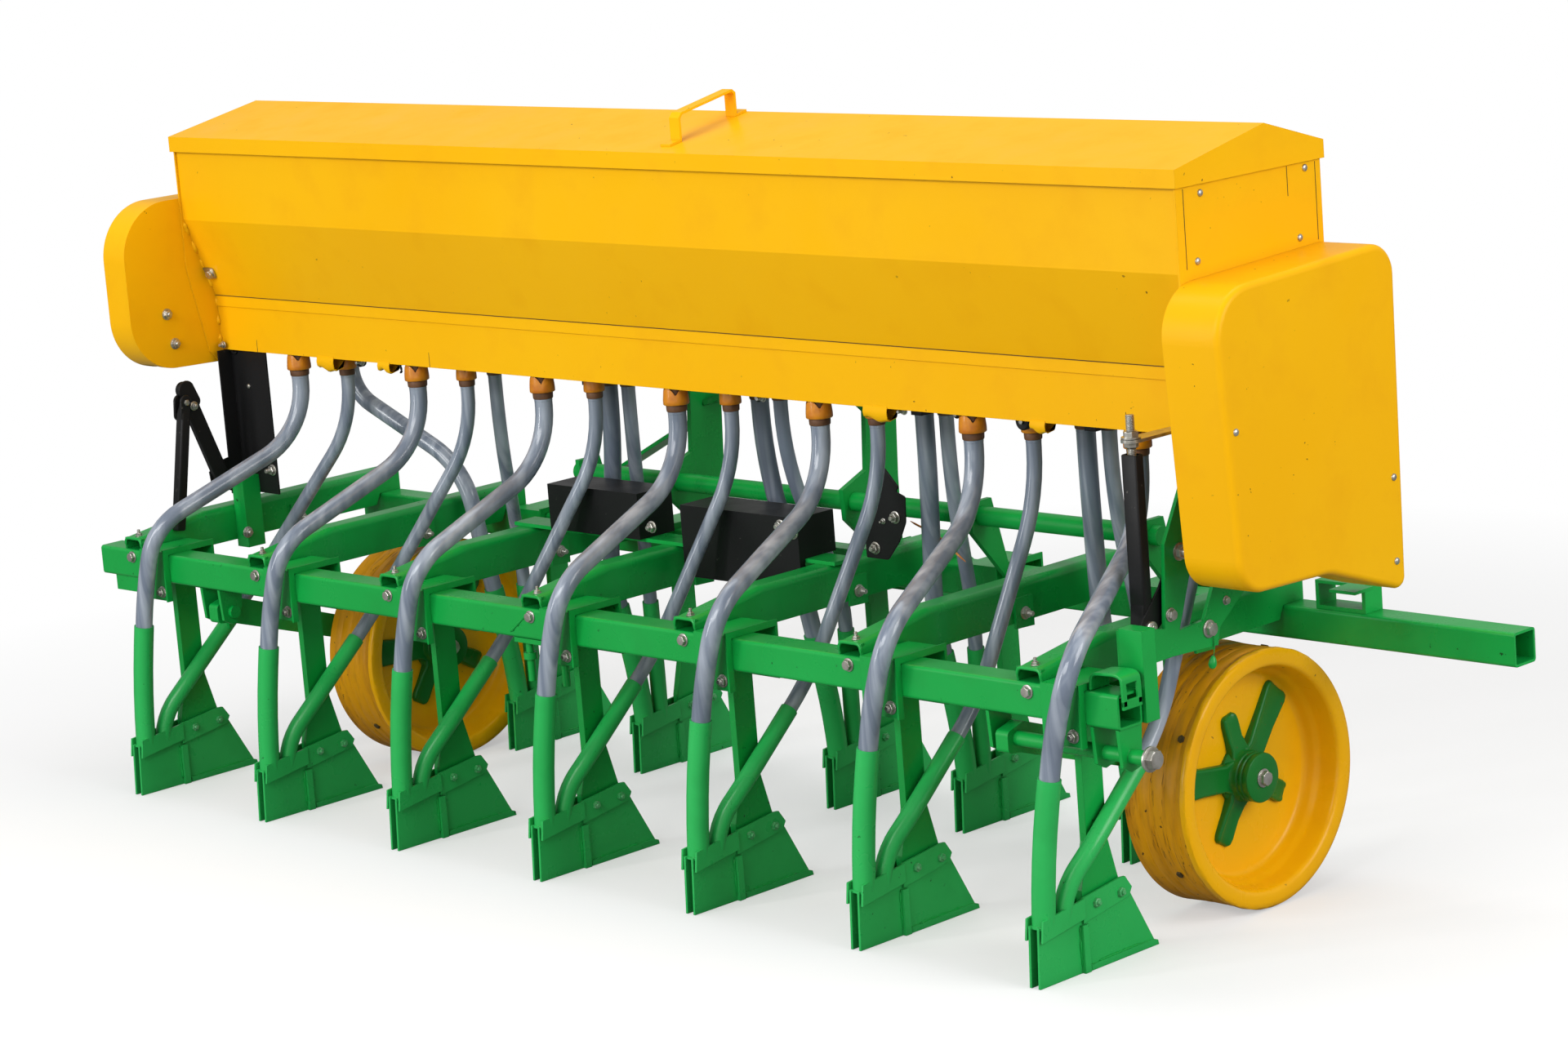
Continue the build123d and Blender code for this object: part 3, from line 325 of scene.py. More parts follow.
class Shape:
    """Collects one piece's mesh, in metres in the row frame."""

    def __init__(self):
        self.mesh = bmesh.new()

    def lathe(self, profile, matrix, sides=24, material=0, closed=False, shape=None):
        """Turns (height, radius) points about +Z; shape(height, radius, angle) may move each point."""
        rings = []
        for height, radius in profile:
            if radius < 1e-6:
                rings.append([self.mesh.verts.new(matrix @ Vector((0, 0, height)))] * sides)
                continue
            ring = []
            for k in range(sides):
                angle = 2 * math.pi * k / sides
                h, r = shape(height, radius, angle) if shape else (height, radius)
                ring.append(self.mesh.verts.new(matrix @ Vector((r * math.cos(angle), r * math.sin(angle), h))))
            rings.append(ring)
        pairs = list(zip(rings, rings[1:]))
        if closed:
            pairs.append((rings[-1], rings[0]))
        for n, (low, high) in enumerate(pairs):
            for k in range(sides):
                corners = [low[k], low[(k + 1) % sides], high[(k + 1) % sides], high[k]]
                corners = list(dict.fromkeys(corners))
                if len(corners) > 2:
                    face = self.mesh.faces.new(corners)
                    face.material_index = material[n] if isinstance(material, list) else material
        return self

    def prism(self, outline, matrix, depth, material=0):
        """Flat plate: outline in its own X and Y, thickness along its +Z."""
        low = [self.mesh.verts.new(matrix @ Vector((p[0], p[1], 0))) for p in outline]
        high = [self.mesh.verts.new(matrix @ Vector((p[0], p[1], depth))) for p in outline]
        made = [self.mesh.faces.new(low[::-1]), self.mesh.faces.new(high)]
        for k in range(len(low)):
            n = (k + 1) % len(low)
            made.append(self.mesh.faces.new((low[k], low[n], high[n], high[k])))
        for face in made:
            face.material_index = material
        return self

    def tube(self, points, radius, sides=10, material=0, wobble=0.0):
        """Round bead along points; wobble makes it uneven like a weld."""
        rings = []
        for i, point in enumerate(points):
            before, after = points[max(i - 1, 0)], points[min(i + 1, len(points) - 1)]
            end = i in (0, len(points) - 1)
            r = radius * (0.35 if end else 1.0) * (1 + wobble * (DICE.random() - 0.5))
            m = facing(point, after - before)
            turns = [2 * math.pi * k / sides for k in range(sides)]
            rings.append([self.mesh.verts.new(m @ Vector((r * math.cos(a), r * math.sin(a), 0))) for a in turns])
        for low, high in zip(rings, rings[1:]):
            for k in range(sides):
                n = (k + 1) % sides
                self.mesh.faces.new((low[k], low[n], high[n], high[k])).material_index = material
        self.mesh.faces.new(rings[0][::-1]).material_index = material
        self.mesh.faces.new(rings[-1]).material_index = material
        return self

    def loft(self, rings, material=0, closed=False):
        """Skin over rings of equal counts; closed joins the last ring to the first."""
        made = [[self.mesh.verts.new(p) for p in ring] for ring in rings]
        pairs = list(zip(made, made[1:]))
        if closed:
            pairs.append((made[-1], made[0]))
        for low, high in pairs:
            for k in range(len(low)):
                n = (k + 1) % len(low)
                self.mesh.faces.new((low[k], low[n], high[n], high[k])).material_index = material
        if not closed:
            self.mesh.faces.new(made[0][::-1]).material_index = material
            self.mesh.faces.new(made[-1]).material_index = material
        return self

    def strap(self, points, across, thick, material=0):
        """Flat strip bent along points, in metres; across is its width as a vector."""
        rings = []
        side = across.normalized()
        for i, point in enumerate(points):
            run = points[min(i + 1, len(points) - 1)] - points[max(i - 1, 0)]
            out = run.cross(side).normalized() * (thick / 2)
            rings.append([point - across / 2 - out, point + across / 2 - out, point + across / 2 + out,
                          point - across / 2 + out])
        return self.loft(rings, material)

    def bolt(self, place, axis, size, washer=True, stud=0.0, material=0):
        """Hex head with a chamfered crown on a washer; stud adds the thread's end beyond a nut."""
        m = facing(place, axis, DICE.random() * 1.05)
        base = 0.0
        if washer:
            w = size * 1.25
            self.lathe([(0, w), (size * 0.2, w), (size * 0.22, w * 0.97), (size * 0.22, size * 0.5)], m, 20, material)
            base = size * 0.22
        h = base + size * 0.72
        crown = [(base, size), (h - size * 0.1, size), (h, size * 0.86), (h, size * 0.3)]
        self.lathe(crown, m, 6, material)
        if stud:
            r = size * 0.52
            rings = [(h - size * 0.1, r)]
            step = size * 0.16
            z = h
            while z < h + stud:
                rings += [(z, r), (z + step * 0.5, r * 0.88)]
                z += step
            rings += [(z, r * 0.8), (z, 0)]
            self.lathe(rings, m, 14, material)
        else:
            self.lathe([(h, size * 0.86), (h + size * 0.03, size * 0.6), (h + size * 0.03, 0)], m, 18, material)
        return self

    def rivet(self, place, axis, radius, material=0):
        m = facing(place, axis)
        dome = [(0, radius), (radius * 0.12, radius)]
        for k in range(1, 5):
            a = math.radians(90 * k / 4)
            dome.append((radius * (0.12 + 0.5 * math.sin(a)), radius * math.cos(a) if k < 4 else 0))
        self.lathe(dome, m, 16, material)
        return self

    def done(self, name, materials, body="frame", slot=None, sharp=35, bevel=0.0):
        bmesh.ops.recalc_face_normals(self.mesh, faces=self.mesh.faces)
        data = bpy.data.meshes.new(name)
        self.mesh.to_mesh(data)
        self.mesh.free()
        for polygon in data.polygons:
            polygon.use_smooth = True
        data.set_sharp_from_angle(angle=math.radians(sharp))
        for material in materials:
            data.materials.append(material)
        obj = bpy.data.objects.new(name, data)
        bpy.context.scene.collection.objects.link(obj)
        if bevel:
            rounded = obj.modifiers.new("rounded", "BEVEL")
            rounded.width = bevel
            rounded.segments = 3
            rounded.limit_method = "ANGLE"
            rounded.angle_limit = math.radians(40)
            rounded.harden_normals = True
        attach(obj, body)
        return obj


DICE = random.Random(7)
LEFT, RIGHT, BACK, AHEAD, UP, DOWN = (-1, 0, 0), (1, 0, 0), (0, -1, 0), (0, 1, 0), (0, 0, 1), (0, 0, -1)

# ---------------------------------------------------------------- fasteners

# heads, half across their corners
M12, M16, M8 = 10.4 * MM, 13.5 * MM, 7.0 * MM


def row_places():
    return [(x, 0) for x in REAR_X] + [(x, FRONT_Y) for x in FRONT_X]


# a clamp's bolts from its opener: to the right, behind and ahead, and their height
CLAMP_RIGHT, CLAMP_BEHIND, CLAMP_AHEAD, CLAMP_Z = 58, 38.5, 93.5, 457.5


def clamp_bolts():
    shape = Shape()
    for x, y in row_places():
        shape.bolt(at(x + CLAMP_RIGHT, y - CLAMP_BEHIND, CLAMP_Z), BACK, M12, stud=0.004)
        shape.bolt(at(x + CLAMP_RIGHT, y + CLAMP_AHEAD, CLAMP_Z), AHEAD, M12)
    for x in ARM_X:
        shape.bolt(at(x, BAR_BACK, 526), BACK, M12)
        shape.bolt(at(x + 4, -12, 571), UP, M8, stud=0.007)
        shape.bolt(at(x + 37, 423, 534), RIGHT, M12, stud=0.01)
        shape.bolt(at(x + 31, 423, 534), LEFT, M12)
    shape.done("frame_bolts", [ZINC], slot="zinc_steel")


def boot_bolts():
    shape = Shape()
    for x, y in row_places():
        for dy, z in ((37, 124), (105, 126)):
            shape.bolt(at(x + 18, y + dy, z), RIGHT, M12 * 0.86, washer=False, stud=0.003)
            shape.bolt(at(x - 18, y + dy, z), LEFT, M12 * 0.86, washer=False)
    shape.done("boot_bolts", [PAINTED_BOLT], slot="green_paint")


def body_bolts():
    shape = Shape()
    for y, z in ((135, 1052), (149, 983)):
        shape.bolt(at(-1407, y, z), RIGHT, M12, stud=0.004)
    for x, z in ((-79, 636), (-155, 640), (340, 660), (305, 672)):
        shape.bolt(at(x, 345, z), BACK, M12, stud=0.005)
    shape.bolt(at(1500, 222, 1120), BACK, M16, stud=0.012)
    shape.bolt(at(-1386, 268, 962), BACK, M8, stud=0.006)
    shape.bolt(at(1548, 2, 424), RIGHT, 19 * MM, stud=0)
    shape.done("body_bolts", [ZINC], slot="zinc_steel")


def rivets():
    shape = Shape()
    for y, z in ((176, 988), (620, 825), (617, 668)):
        shape.rivet(at(1642, y, z), RIGHT, 7 * MM)
    for y, z in ((268, 1395), (567, 1400), (251, 1275), (543, 1275)):
        shape.rivet(at(1515, y, z), RIGHT, 7 * MM)
    shape.done("cover_rivets", [ZINC], slot="zinc_steel")


# ---------------------------------------------------------------- metering cups

# outlets under the tray: seven for the rear openers, then five for the front ones
CUP_STEP = 411
SEED_CUPS = [(-1165 + CUP_STEP * i, 306) for i in range(7)]
SEED_CUPS += [(-1200, 480), (-327, 480), (133, 480), (598, 480), (1022, 480)]
FERT_CUPS = [(-1053 + CUP_STEP * i, 352) for i in range(7)]
FERT_CUPS += [(-698, 480), (-273, 486), (187, 486), (652, 486), (1076, 486)]


def cup_pieces():
    """Orange cup with a scalloped band and its brown collar over each tube, under the tray."""
    orange, brown = Shape(), Shape()
    for places, tube_r, cup_r in ((SEED_CUPS, 19, 27), (FERT_CUPS, 15, 22.5)):
        for x, y in places:
            m = Matrix.Translation(at(x, y, 0))
            turn = DICE.uniform(-0.25, 0.25)

            def scalloped(height, radius, angle, turn=turn):
                if height > 0.930:
                    lobe = abs(math.cos(angle * 2 + turn))
                    return height - 0.017 * (1 - lobe) ** 1.3, radius
                return height, radius

            band = [
                (949, cup_r - 4), (949, cup_r - 1.5), (940, cup_r - 0.5), (922, cup_r), (914.5, cup_r),
                (913, cup_r - 1.5), (913, cup_r - 4.5), (922, cup_r - 4.5), (940, cup_r - 4.5)]
            band = [(h * MM, r * MM) for h, r in band]
            orange.lathe(band, m, 40, closed=True, shape=scalloped)
            neck = [(950, cup_r - 6), (938, cup_r - 7), (925, tube_r + 2), (915, tube_r + 2)]
            orange.lathe([(h * MM, r * MM) for h, r in neck], m, 28, material=1)
            collar = [(916, tube_r + 2), (914, tube_r + 3), (901, tube_r + 2.4), (899, tube_r + 1.6), (899, tube_r - 1)]
            brown.lathe([(h * MM, r * MM) for h, r in collar], m, 32)
            stub = [(904, tube_r + 0.3), (893.5, tube_r + 0.3), (893.5, tube_r - 0.5)]
            brown.lathe([(h * MM, r * MM) for h, r in stub], m, 40, material=1)
    cups = orange.done("metering_cups_detail", [PLASTIC, COLLAR], slot="orange_plastic", sharp=50)
    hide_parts("metering_cups")
    brown.done("cup_collars", [COLLAR, HOSE], slot="orange_plastic")


# ---------------------------------------------------------------- wheels

# depth from the outer face, radius, in millimetres, going round the section
WHEEL_SECTION = [
    (0.6, 229), (0, 236), (0.5, 243), (2.5, 247.5), (6, 249.6), (14, 249.2), (24, 247.2), (26, 246), (28, 247.8),
    (52, 247), (54, 245.6), (56, 247.2), (84, 247), (86, 245.4), (88, 247.4), (112, 247.8), (114, 246.2), (116, 248.2),
    (136, 249.6), (148, 249.4), (150, 247), (149, 243), (60, 242), (11, 240), (11, 224), (40, 219), (50, 212),
    (66, 208), (80, 203), (81, 198), (81, 60), (81, 42), (112, 42), (112, 15.1), (82, 15.1), (82, 40), (75, 44),
    (75, 60), (75, 186), (74.2, 190), (71.5, 194), (66, 197.5), (58, 200), (52, 202.5), (46, 206.5), (40, 208.5),
    (28, 210.5), (12, 213), (6, 215), (2.6, 218.5), (1.2, 223)]
# span of section points that makes the tread, and depth from the outer face to the pressed disc
TREAD_FROM, TREAD_TO = 5, 20
DISH = 75
# length, half width at the root, half width at the tip, turn in degrees: read from the photo, so wider than the CAD
# spider's arms and turned otherwise
SPIDER = [(186, 25, 33, 50), (122, 22, 21, 103), (186, 26, 31, 175), (136, 22, 23, 241), (136, 21, 22, 332)]
# studs in the tread: depths in turn and distance from the axle, in metres
STUD_DEPTHS, STUD_R = (0.065, 0.03), 0.2435


def wheel_frame(node):
    """Matrix with +Z going into the wheel from its outer face, which is its +X side."""
    low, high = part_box(node)
    axle = Vector((high.x, (low.y + high.y) / 2, (low.z + high.z) / 2))
    return Matrix.Translation(axle) @ Matrix(((0, 0, -1, 0), (1, 0, 0, 0), (0, -1, 0, 0), (0, 0, 0, 1)))


def rough_tread(depth, radius, angle):
    """Dents the rolled band alone, a millimetre or so deep."""
    if radius > 0.2465 and 0.004 < depth < 0.147:
        radius -= 0.0008 + 0.0008 * math.sin(angle * 9 + depth * 60) * math.sin(angle * 23 - depth * 130)
    return depth, radius


def wheel_pieces(side):
    node = body = f"wheel_{side}"
    m = wheel_frame(node)
    shape = Shape()
    section = [(a * MM, r * MM) for a, r in WHEEL_SECTION]
    kinds = [1 if TREAD_FROM <= n < TREAD_TO else 0 for n in range(len(section))]
    shape.lathe(section, m, 144, material=kinds, closed=True, shape=rough_tread)
    rim = shape.done(f"{node}_shell", [WHEEL_YELLOW, TREAD], body, "yellow_paint", sharp=42)
    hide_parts(node)

    low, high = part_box(node)
    base = Vector((high.x - DISH * MM, (low.y + high.y) / 2, (low.z + high.z) / 2))
    upright = Matrix.Translation(base) @ FORE_AND_AFT
    star = Shape()
    for length, root, tip, turn in SPIDER:
        spin = upright @ Matrix.Rotation(math.radians(turn), 4, "Z")
        rows = []
        for reach, half, rise in ((36, root + 9, 20), (58, root, 19), (length * 0.62, (root + tip) / 2 - 1, 14),
                                  (length - 14, tip, 12), (length - 2, tip - 2, 11), (length + 3, tip - 8, 7)):
            ring = [(-half, 0), (-half, rise - 4), (-half + 4, rise), (-half * 0.45, rise - 2.5),
                    (half * 0.45, rise - 2.5), (half - 4, rise), (half, rise - 4), (half, 0)]
            rows.append([star.mesh.verts.new(spin @ (Vector((reach, across, up)) * MM)) for across, up in ring])
        for a, b in zip(rows, rows[1:]):
            for k in range(7):
                star.mesh.faces.new((a[k], a[k + 1], b[k + 1], b[k]))
        star.mesh.faces.new(rows[-1])
    star_piece = star.done(f"wheel_spider_{side}_star", [WHEEL_GREEN], body, "green_paint", sharp=50, bevel=0.003)
    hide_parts(f"wheel_spider_{side}")

    hub = Shape()
    turned = [
        (0, 40), (0, 60), (6, 60), (14, 54), (19, 49.5), (24, 48), (29, 47.5), (31, 45.2), (34, 45), (36, 47.4),
        (40, 47.6), (42, 45.4), (45, 45.2), (47, 47.6), (55, 48), (57, 47), (58, 45), (58, 20), (57.6, 0)]
    hub.lathe([(a * MM, r * MM) for a, r in turned], upright, 64)
    hub.done(f"wheel_hub_{side}", [WHEEL_GREEN], body, "green_paint", sharp=30)
    bolt = Shape()
    bolt.bolt(base + Vector((57.2 * MM, 0, 0)), RIGHT, 14.5 * MM)
    bolt.done(f"wheel_hub_bolt_{side}", [ZINC], body, "zinc_steel")

    studs = Shape()
    for k, angle in enumerate((20, 75, 128, 181, 234, 300)):
        a = math.radians(angle)
        out = Vector((0, math.sin(a), math.cos(a)))
        place = Vector((high.x - STUD_DEPTHS[k % 2], base.y, base.z)) + out * STUD_R
        studs.bolt(place, out, 8.0 * MM, washer=False)
    studs.done(f"tread_studs_{side}", [TREAD_STUD], body, "zinc_steel")


# ---------------------------------------------------------------- welds, slits and small marks

def along(points, step=6):
    """Places every step millimetres along straight runs between points."""
    out = []
    for a, b in zip(points, points[1:]):
        a, b = Vector(a), Vector(b)
        count = max(2, int((b - a).length / step))
        out += [at(*(a.lerp(b, k / count))) for k in range(count)]
    out.append(at(*points[-1]))
    return out


# hopper's sloping back: its top edge, how far it runs in as it drops, and its lean in degrees
SLOPE_Y, SLOPE_Z, SLOPE_IN, SLOPE_DROP = 205, 1257, 71, 181
SLOPE_TILT = 21.4


def hopper_welds():
    shape = Shape()
    x = -1403
    for start, end in ((1250, 1222), (1206, 1176), (1162, 1138), (1118, 1094)):
        ya, yb = (SLOPE_Y + (SLOPE_Z - z) * SLOPE_IN / SLOPE_DROP for z in (start, end))
        shape.tube(along([(x, ya - 2, start), (x, yb - 2, end)]), 5.2 * MM, 8, wobble=0.8)
    for start, end in ((1070, 1050), (1030, 1006), (985, 962)):
        shape.tube(along([(x, 274, start), (x, 274, end)]), 4.8 * MM, 8, wobble=0.8)
    shape.done("hopper_welds", [YELLOW], slot="yellow_paint", sharp=80)


def frame_welds():
    shape = Shape()
    for x, y in row_places():
        for side in (-1, 1):
            edge = x + side * 13.5
            shape.tube(along([(edge, y - 7, 12), (edge, y - 7, 88)]), 2.6 * MM, 7, wobble=0.8)
            shape.tube(along([(edge, y + 40, 12), (edge, y + 160, 13)], 8), 2.4 * MM, 7, wobble=0.9)
        shape.tube(along([(x - 18, y - 66, 113), (x + 18, y - 66, 113)], 5), 3.0 * MM, 7, wobble=0.8)
    shape.tube(along([(-118, BAR_BACK, 488), (-58, BAR_BACK, 534)], 5), 3.4 * MM, 8, wobble=0.6)
    for x in (-112, 44):
        shape.tube(along([(x, -30, 477), (x, 24, 477)], 5), 3.0 * MM, 7, wobble=0.7)
    shape.done("frame_welds", [GREEN], slot="green_paint", sharp=80)


def slits():
    # dark strips of painted shade: in the tray's slits, along the seam where the sloping back laps over the tray, and
    # in three lines on the right end
    shape = Shape()
    for x, low, high in ((-1272, 951, 978), (-670, 951, 983), (1303, 951, 984)):
        outline = [(-0.8 * MM, 0), (0.8 * MM, 0), (0.5 * MM, (high - low) * MM), (-0.5 * MM, (high - low) * MM)]
        shape.prism(outline, Matrix.Translation(at(x, 276.4, low)) @ ACROSS, 0.7 * MM)
    shape.strap([at(-1402, 272.2, 1075), at(1510, 272.2, 1075)], Vector((0, 0.3 * MM, 1.5 * MM)), 1.0 * MM)
    for y, low, high in ((221, 1264, 1408), (597, 1264, 1408), (515, 1355, 1410)):
        shape.strap([at(1515.2, y, low), at(1515.2, y, high)], Vector((0, 1.3 * MM, 0)), 0.7 * MM)
    shape.done("tray_slit_and_seam_shade", [SLIT_SHADE], slot="yellow_paint")


def small_fittings():
    tab = Shape()
    outline = soft_outline([(-24, -13), (16, -13), (16, 13), (-24, 13)], 6, 3)
    base = Matrix.Translation(at(-1384, 252, 1130)) @ Matrix.Rotation(math.radians(SLOPE_TILT), 4, "X") @ ACROSS
    tab.prism([p * MM for p in outline], base, 3 * MM)
    tab.bolt(base @ Vector((4 * MM, 0, 3 * MM)), base.to_3x3() @ Vector((0, 0, 1)), M12)
    tab.done("end_tab", [ZINC], slot="zinc_steel")
    hooks = Shape()
    for y in (203, 610):
        hooks.tube([at(1508, y, 1441), at(1514, y, 1443), at(1519, y, 1441), at(1519, y, 1437)], 2.2 * MM, 8)
    hooks.done("corner_hooks", [ZINC], slot="zinc_steel")


def side_plate(x, outline):
    """Outline and matrix for a plate that lies in the drill's fore-and-aft plane, thickness towards +X."""
    return [Vector(p) * MM for p in outline], Matrix.Translation(at(x, 0, 0)) @ FORE_AND_AFT


def jack():
    x, y = 1430, 140
    half_x, half_y = 17, 12
    tube = Shape()

    def section(z, hx, hy, r):
        corners = [(x - hx, y - hy), (x + hx, y - hy), (x + hx, y + hy), (x - hx, y + hy)]
        return [at(p.x, p.y, z) for p in soft_outline(corners, r, 4)]

    levels = [(636, 15, 11, 4), (640, half_x, half_y, 4), (938, half_x, half_y, 4), (940, half_x - 1, half_y - 1, 4),
              (940, half_x - 3, half_y - 3, 2), (700, half_x - 3, half_y - 3, 2)]
    tube.loft([section(*level) for level in levels])
    foot, matrix = side_plate(x - 15, stadium((y, 618), (y, 660), 17, 13))
    tube.prism(foot, matrix, 30 * MM)
    piece = tube.done("jack_tube", [BLACK], slot="black_paint", bevel=0.0035)
    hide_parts("screw_jack")

    screw = Shape()
    thread = [(880, 0), (880, 8)]
    for k in range(44):
        thread += [(881 + 3 * k, 8.6), (882.5 + 3 * k, 7.4)]
    thread += [(1012, 7.2), (1012, 0)]
    screw.lathe([(h * MM, r * MM) for h, r in thread], Matrix.Translation(at(x, y, 0)), 16)
    screw.bolt(at(x, y, 969), UP, 14.5 * MM)
    screw.bolt(at(x, y, 962), DOWN, 13.5 * MM, washer=False)
    flat = Matrix.Translation(at(0, 0, 962))
    screw.prism([p * MM for p in stadium((x, y), (x + 6, 262), 19, 15)], flat, 6 * MM)
    screw.lathe([(0, 13 * MM), (0, 15 * MM), (0.008, 15 * MM), (0.009, 13.5 * MM), (0.009, 0)],
                facing(at(x + 15, y, 620), RIGHT), 24)
    screw.bolt(at(x + 22, y, 620), RIGHT, 8.5 * MM, washer=False)
    screw.done("jack_screw", [ZINC], slot="zinc_steel")


def bar_end_bracket():
    shape = Shape()
    wide = Vector((0, 52 * MM, 0))
    hoop = bend([(1441, 0, 543), (1444, 0, 574), (1500, 0, 577), (1514, 0, 572), (1515, 0, 560)], 14)
    shape.strap(hoop, wide, 6 * MM)
    for y in (-20, 20):
        leg = Vector((0, 12 * MM, 0))
        shape.strap(bend([(1515, y, 562), (1516, y, 540), (1516, y, 519)], 8), leg, 6 * MM)
    shape.strap(bend([(1516, 0, 532), (1516, 0, 514)], 4), wide, 6 * MM)
    piece = shape.done("bar_end_bracket", [GREEN], slot="green_paint", bevel=0.002)
    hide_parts("toolbar_end_saddle")


def arch_lips():
    shape = Shape()
    for x in ARM_X:
        shape.tube(bend([(x - 28, -26, 543), (x - 28, -26, 567), (x + 28, -26, 567), (x + 28, -26, 543)], 13, 7),
                   3.6 * MM, 10)
        shape.strap(bend([(x - 30, -22, 566), (x + 30, -22, 566)], 1), Vector((0, 8 * MM, 0)), 4 * MM)
    shape.done("arch_lips", [GREEN], slot="green_paint", sharp=60)


FLAPS = [(-1058, -1000, 26), (-846, -806, 16), (632, 696, 24), (1066, 1104, 18)]


def flaps():
    """Folded tabs of sheet under the tray's rear edge, a little crumpled."""
    shape = Shape()
    for x0, x1, drop in FLAPS:
        rings = []
        for k in range(9):
            x = x0 + (x1 - x0) * k / 8
            sag = 3.5 * math.sin(k * 0.9 + x0) + 6 * (k / 8) ** 2
            line = [(275, 953), (272.5, 950 - drop * 0.35), (274, 950 - drop * 0.8 - sag), (281, 950 - drop - sag),
                    (300, 948 - drop * 0.8 - sag * 0.5), (306, 953 - drop * 0.4)]
            outer = [at(x, y, z) for y, z in line]
            inner = [at(x, y + 1.6, z + 1.6) for y, z in reversed(line)]
            rings.append(outer + inner)
        shape.loft(rings)
    piece = shape.done("tray_tabs", [YELLOW], slot="yellow_paint", sharp=60)
    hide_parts("tray_flaps")


def under_tray():
    """Feed clips, bearing ends and a hook that show below the tray."""
    black, zinc = Shape(), Shape()
    for x, y, r in ((301, 318, 9), (1012, 318, 17), (-957, 318, 12), (832, 330, 9)):
        knob = [(-7, 0), (-7, r * 0.9), (-5, r), (5, r), (7, r * 0.86), (7, r * 0.4), (4, 0)]
        black.lathe([(h * MM, w * MM) for h, w in knob], facing(at(x, y, 940), BACK), 24)
        zinc.bolt(at(x, y - 7, 940), BACK, 5 * MM, washer=False)
    black.tube(bend([(-812, 300, 952), (-800, 300, 944), (-796, 300, 930), (-803, 300, 926)], 6), 2.6 * MM, 8)
    black.tube(bend([(-1385, 285, 948), (-1372, 285, 940), (-1362, 285, 944)], 6), 3.5 * MM, 8)
    for x in (718, -930, 330):
        zinc.bolt(at(x, 300, 944), BACK, 7 * MM, stud=0.012)
    black.done("tray_clips", [BLACK], slot="black_paint")
    zinc.done("tray_screws", [ZINC], slot="zinc_steel")


def stand_details():
    """Right stand's bolts, paint drip and black cover, and the black lever plate near the middle."""
    zinc, green, black = Shape(), Shape(), Shape()
    for y, z, size, stud in ((215, 750, M16, 0.02), (361, 682, M16, 0.004), (338, 634, M8, 0), (285, 592, M16, 0),
                             (181, 640, M12, 0)):
        zinc.bolt(at(1462, y, z), RIGHT, size, stud=stud)
    zinc.bolt(at(1482, 6, 537), DOWN, M12)
    green.tube([at(1464, 294, 586), at(1465, 296, 562), at(1464, 293, 540)], 1.4 * MM, 8)
    m = facing(at(1464, 292, 541), (0, -0.25, -1))
    drop = [(0, 0), (2, 3.5), (10, 7), (18, 8), (24, 5), (26, 0)]
    green.lathe([(h * MM, r * MM) for h, r in drop], m, 16)
    cover = [(92, 588), (140, 600), (196, 640), (232, 700), (262, 760), (330, 800), (330, 830), (250, 826), (214, 760),
             (170, 690), (120, 640)]
    outline, matrix = side_plate(1444, soft_outline(cover, 10, 3))
    black.prism(outline, matrix, 4 * MM)
    green.done("paint_drip", [GREEN], slot="green_paint")
    lever = [(446, 600), (506, 600), (540, 640), (561, 681), (564, 734), (540, 742), (548, 752), (512, 789), (496, 789),
             (494, 740), (470, 680), (446, 660)]
    black.prism([p * MM for p in soft_outline(lever, 4, 3)], Matrix.Translation(at(0, 446, 0)) @ ACROSS, 4 * MM)
    for x, z, size in ((474, 622, M12), (500, 679, 5 * MM), (535, 690, M12)):
        zinc.bolt(at(x, 442, z), BACK, size, stud=0.006)
    black.done("stand_cover", [BLACK], slot="black_paint", bevel=0.001)
    zinc.done("stand_bolts", [ZINC], slot="zinc_steel")


def left_linkage():
    black, zinc = Shape(), Shape()
    outline, matrix = side_plate(-1385, stadium((222, 655), (138, 880), 19, 19))
    black.prism(outline, matrix, 14 * MM)
    outline, matrix = side_plate(-1371, stadium((138, 880), (158, 852), 22, 15))
    black.prism(outline, matrix, 6 * MM)
    for x in (-1378, -1354):
        outline, matrix = side_plate(x, stadium((120, 858), (114, 826), 15, 12))
        black.prism(outline, matrix, 6 * MM)
    axis = at(-1359, 122, 858) - at(-1359, 70, 570)
    length = axis.length
    rod = facing(at(-1359, 70, 570), axis)
    rings = []
    for h, w in ((0.0, 10), (0.004, 12), (length - 0.03, 12), (length - 0.012, 9), (length, 7)):
        corners = soft_outline([(-w, -w), (w, -w), (w, w), (-w, w)], 4.5, 4)
        rings.append([rod @ Vector((p.x * MM, p.y * MM, h)) for p in corners])
    black.loft(rings)
    piece = black.done("left_links", [BLACK], slot="black_paint", bevel=0.002)
    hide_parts("linkage_left")
    zinc.bolt(at(-1365, 152, 842), RIGHT, 8.5 * MM, stud=0.003)
    zinc.bolt(at(-1349, 120, 856), RIGHT, 7 * MM, washer=False)
    zinc.bolt(at(-1276, 288, 676), BACK, M12, stud=0.01)
    zinc.rivet(at(-1334, 288, 866), BACK, 5.5 * MM)
    zinc.bolt(at(-1331, 240, 536), RIGHT, M12, stud=0.004)
    zinc.done("left_bolts", [ZINC], slot="zinc_steel")


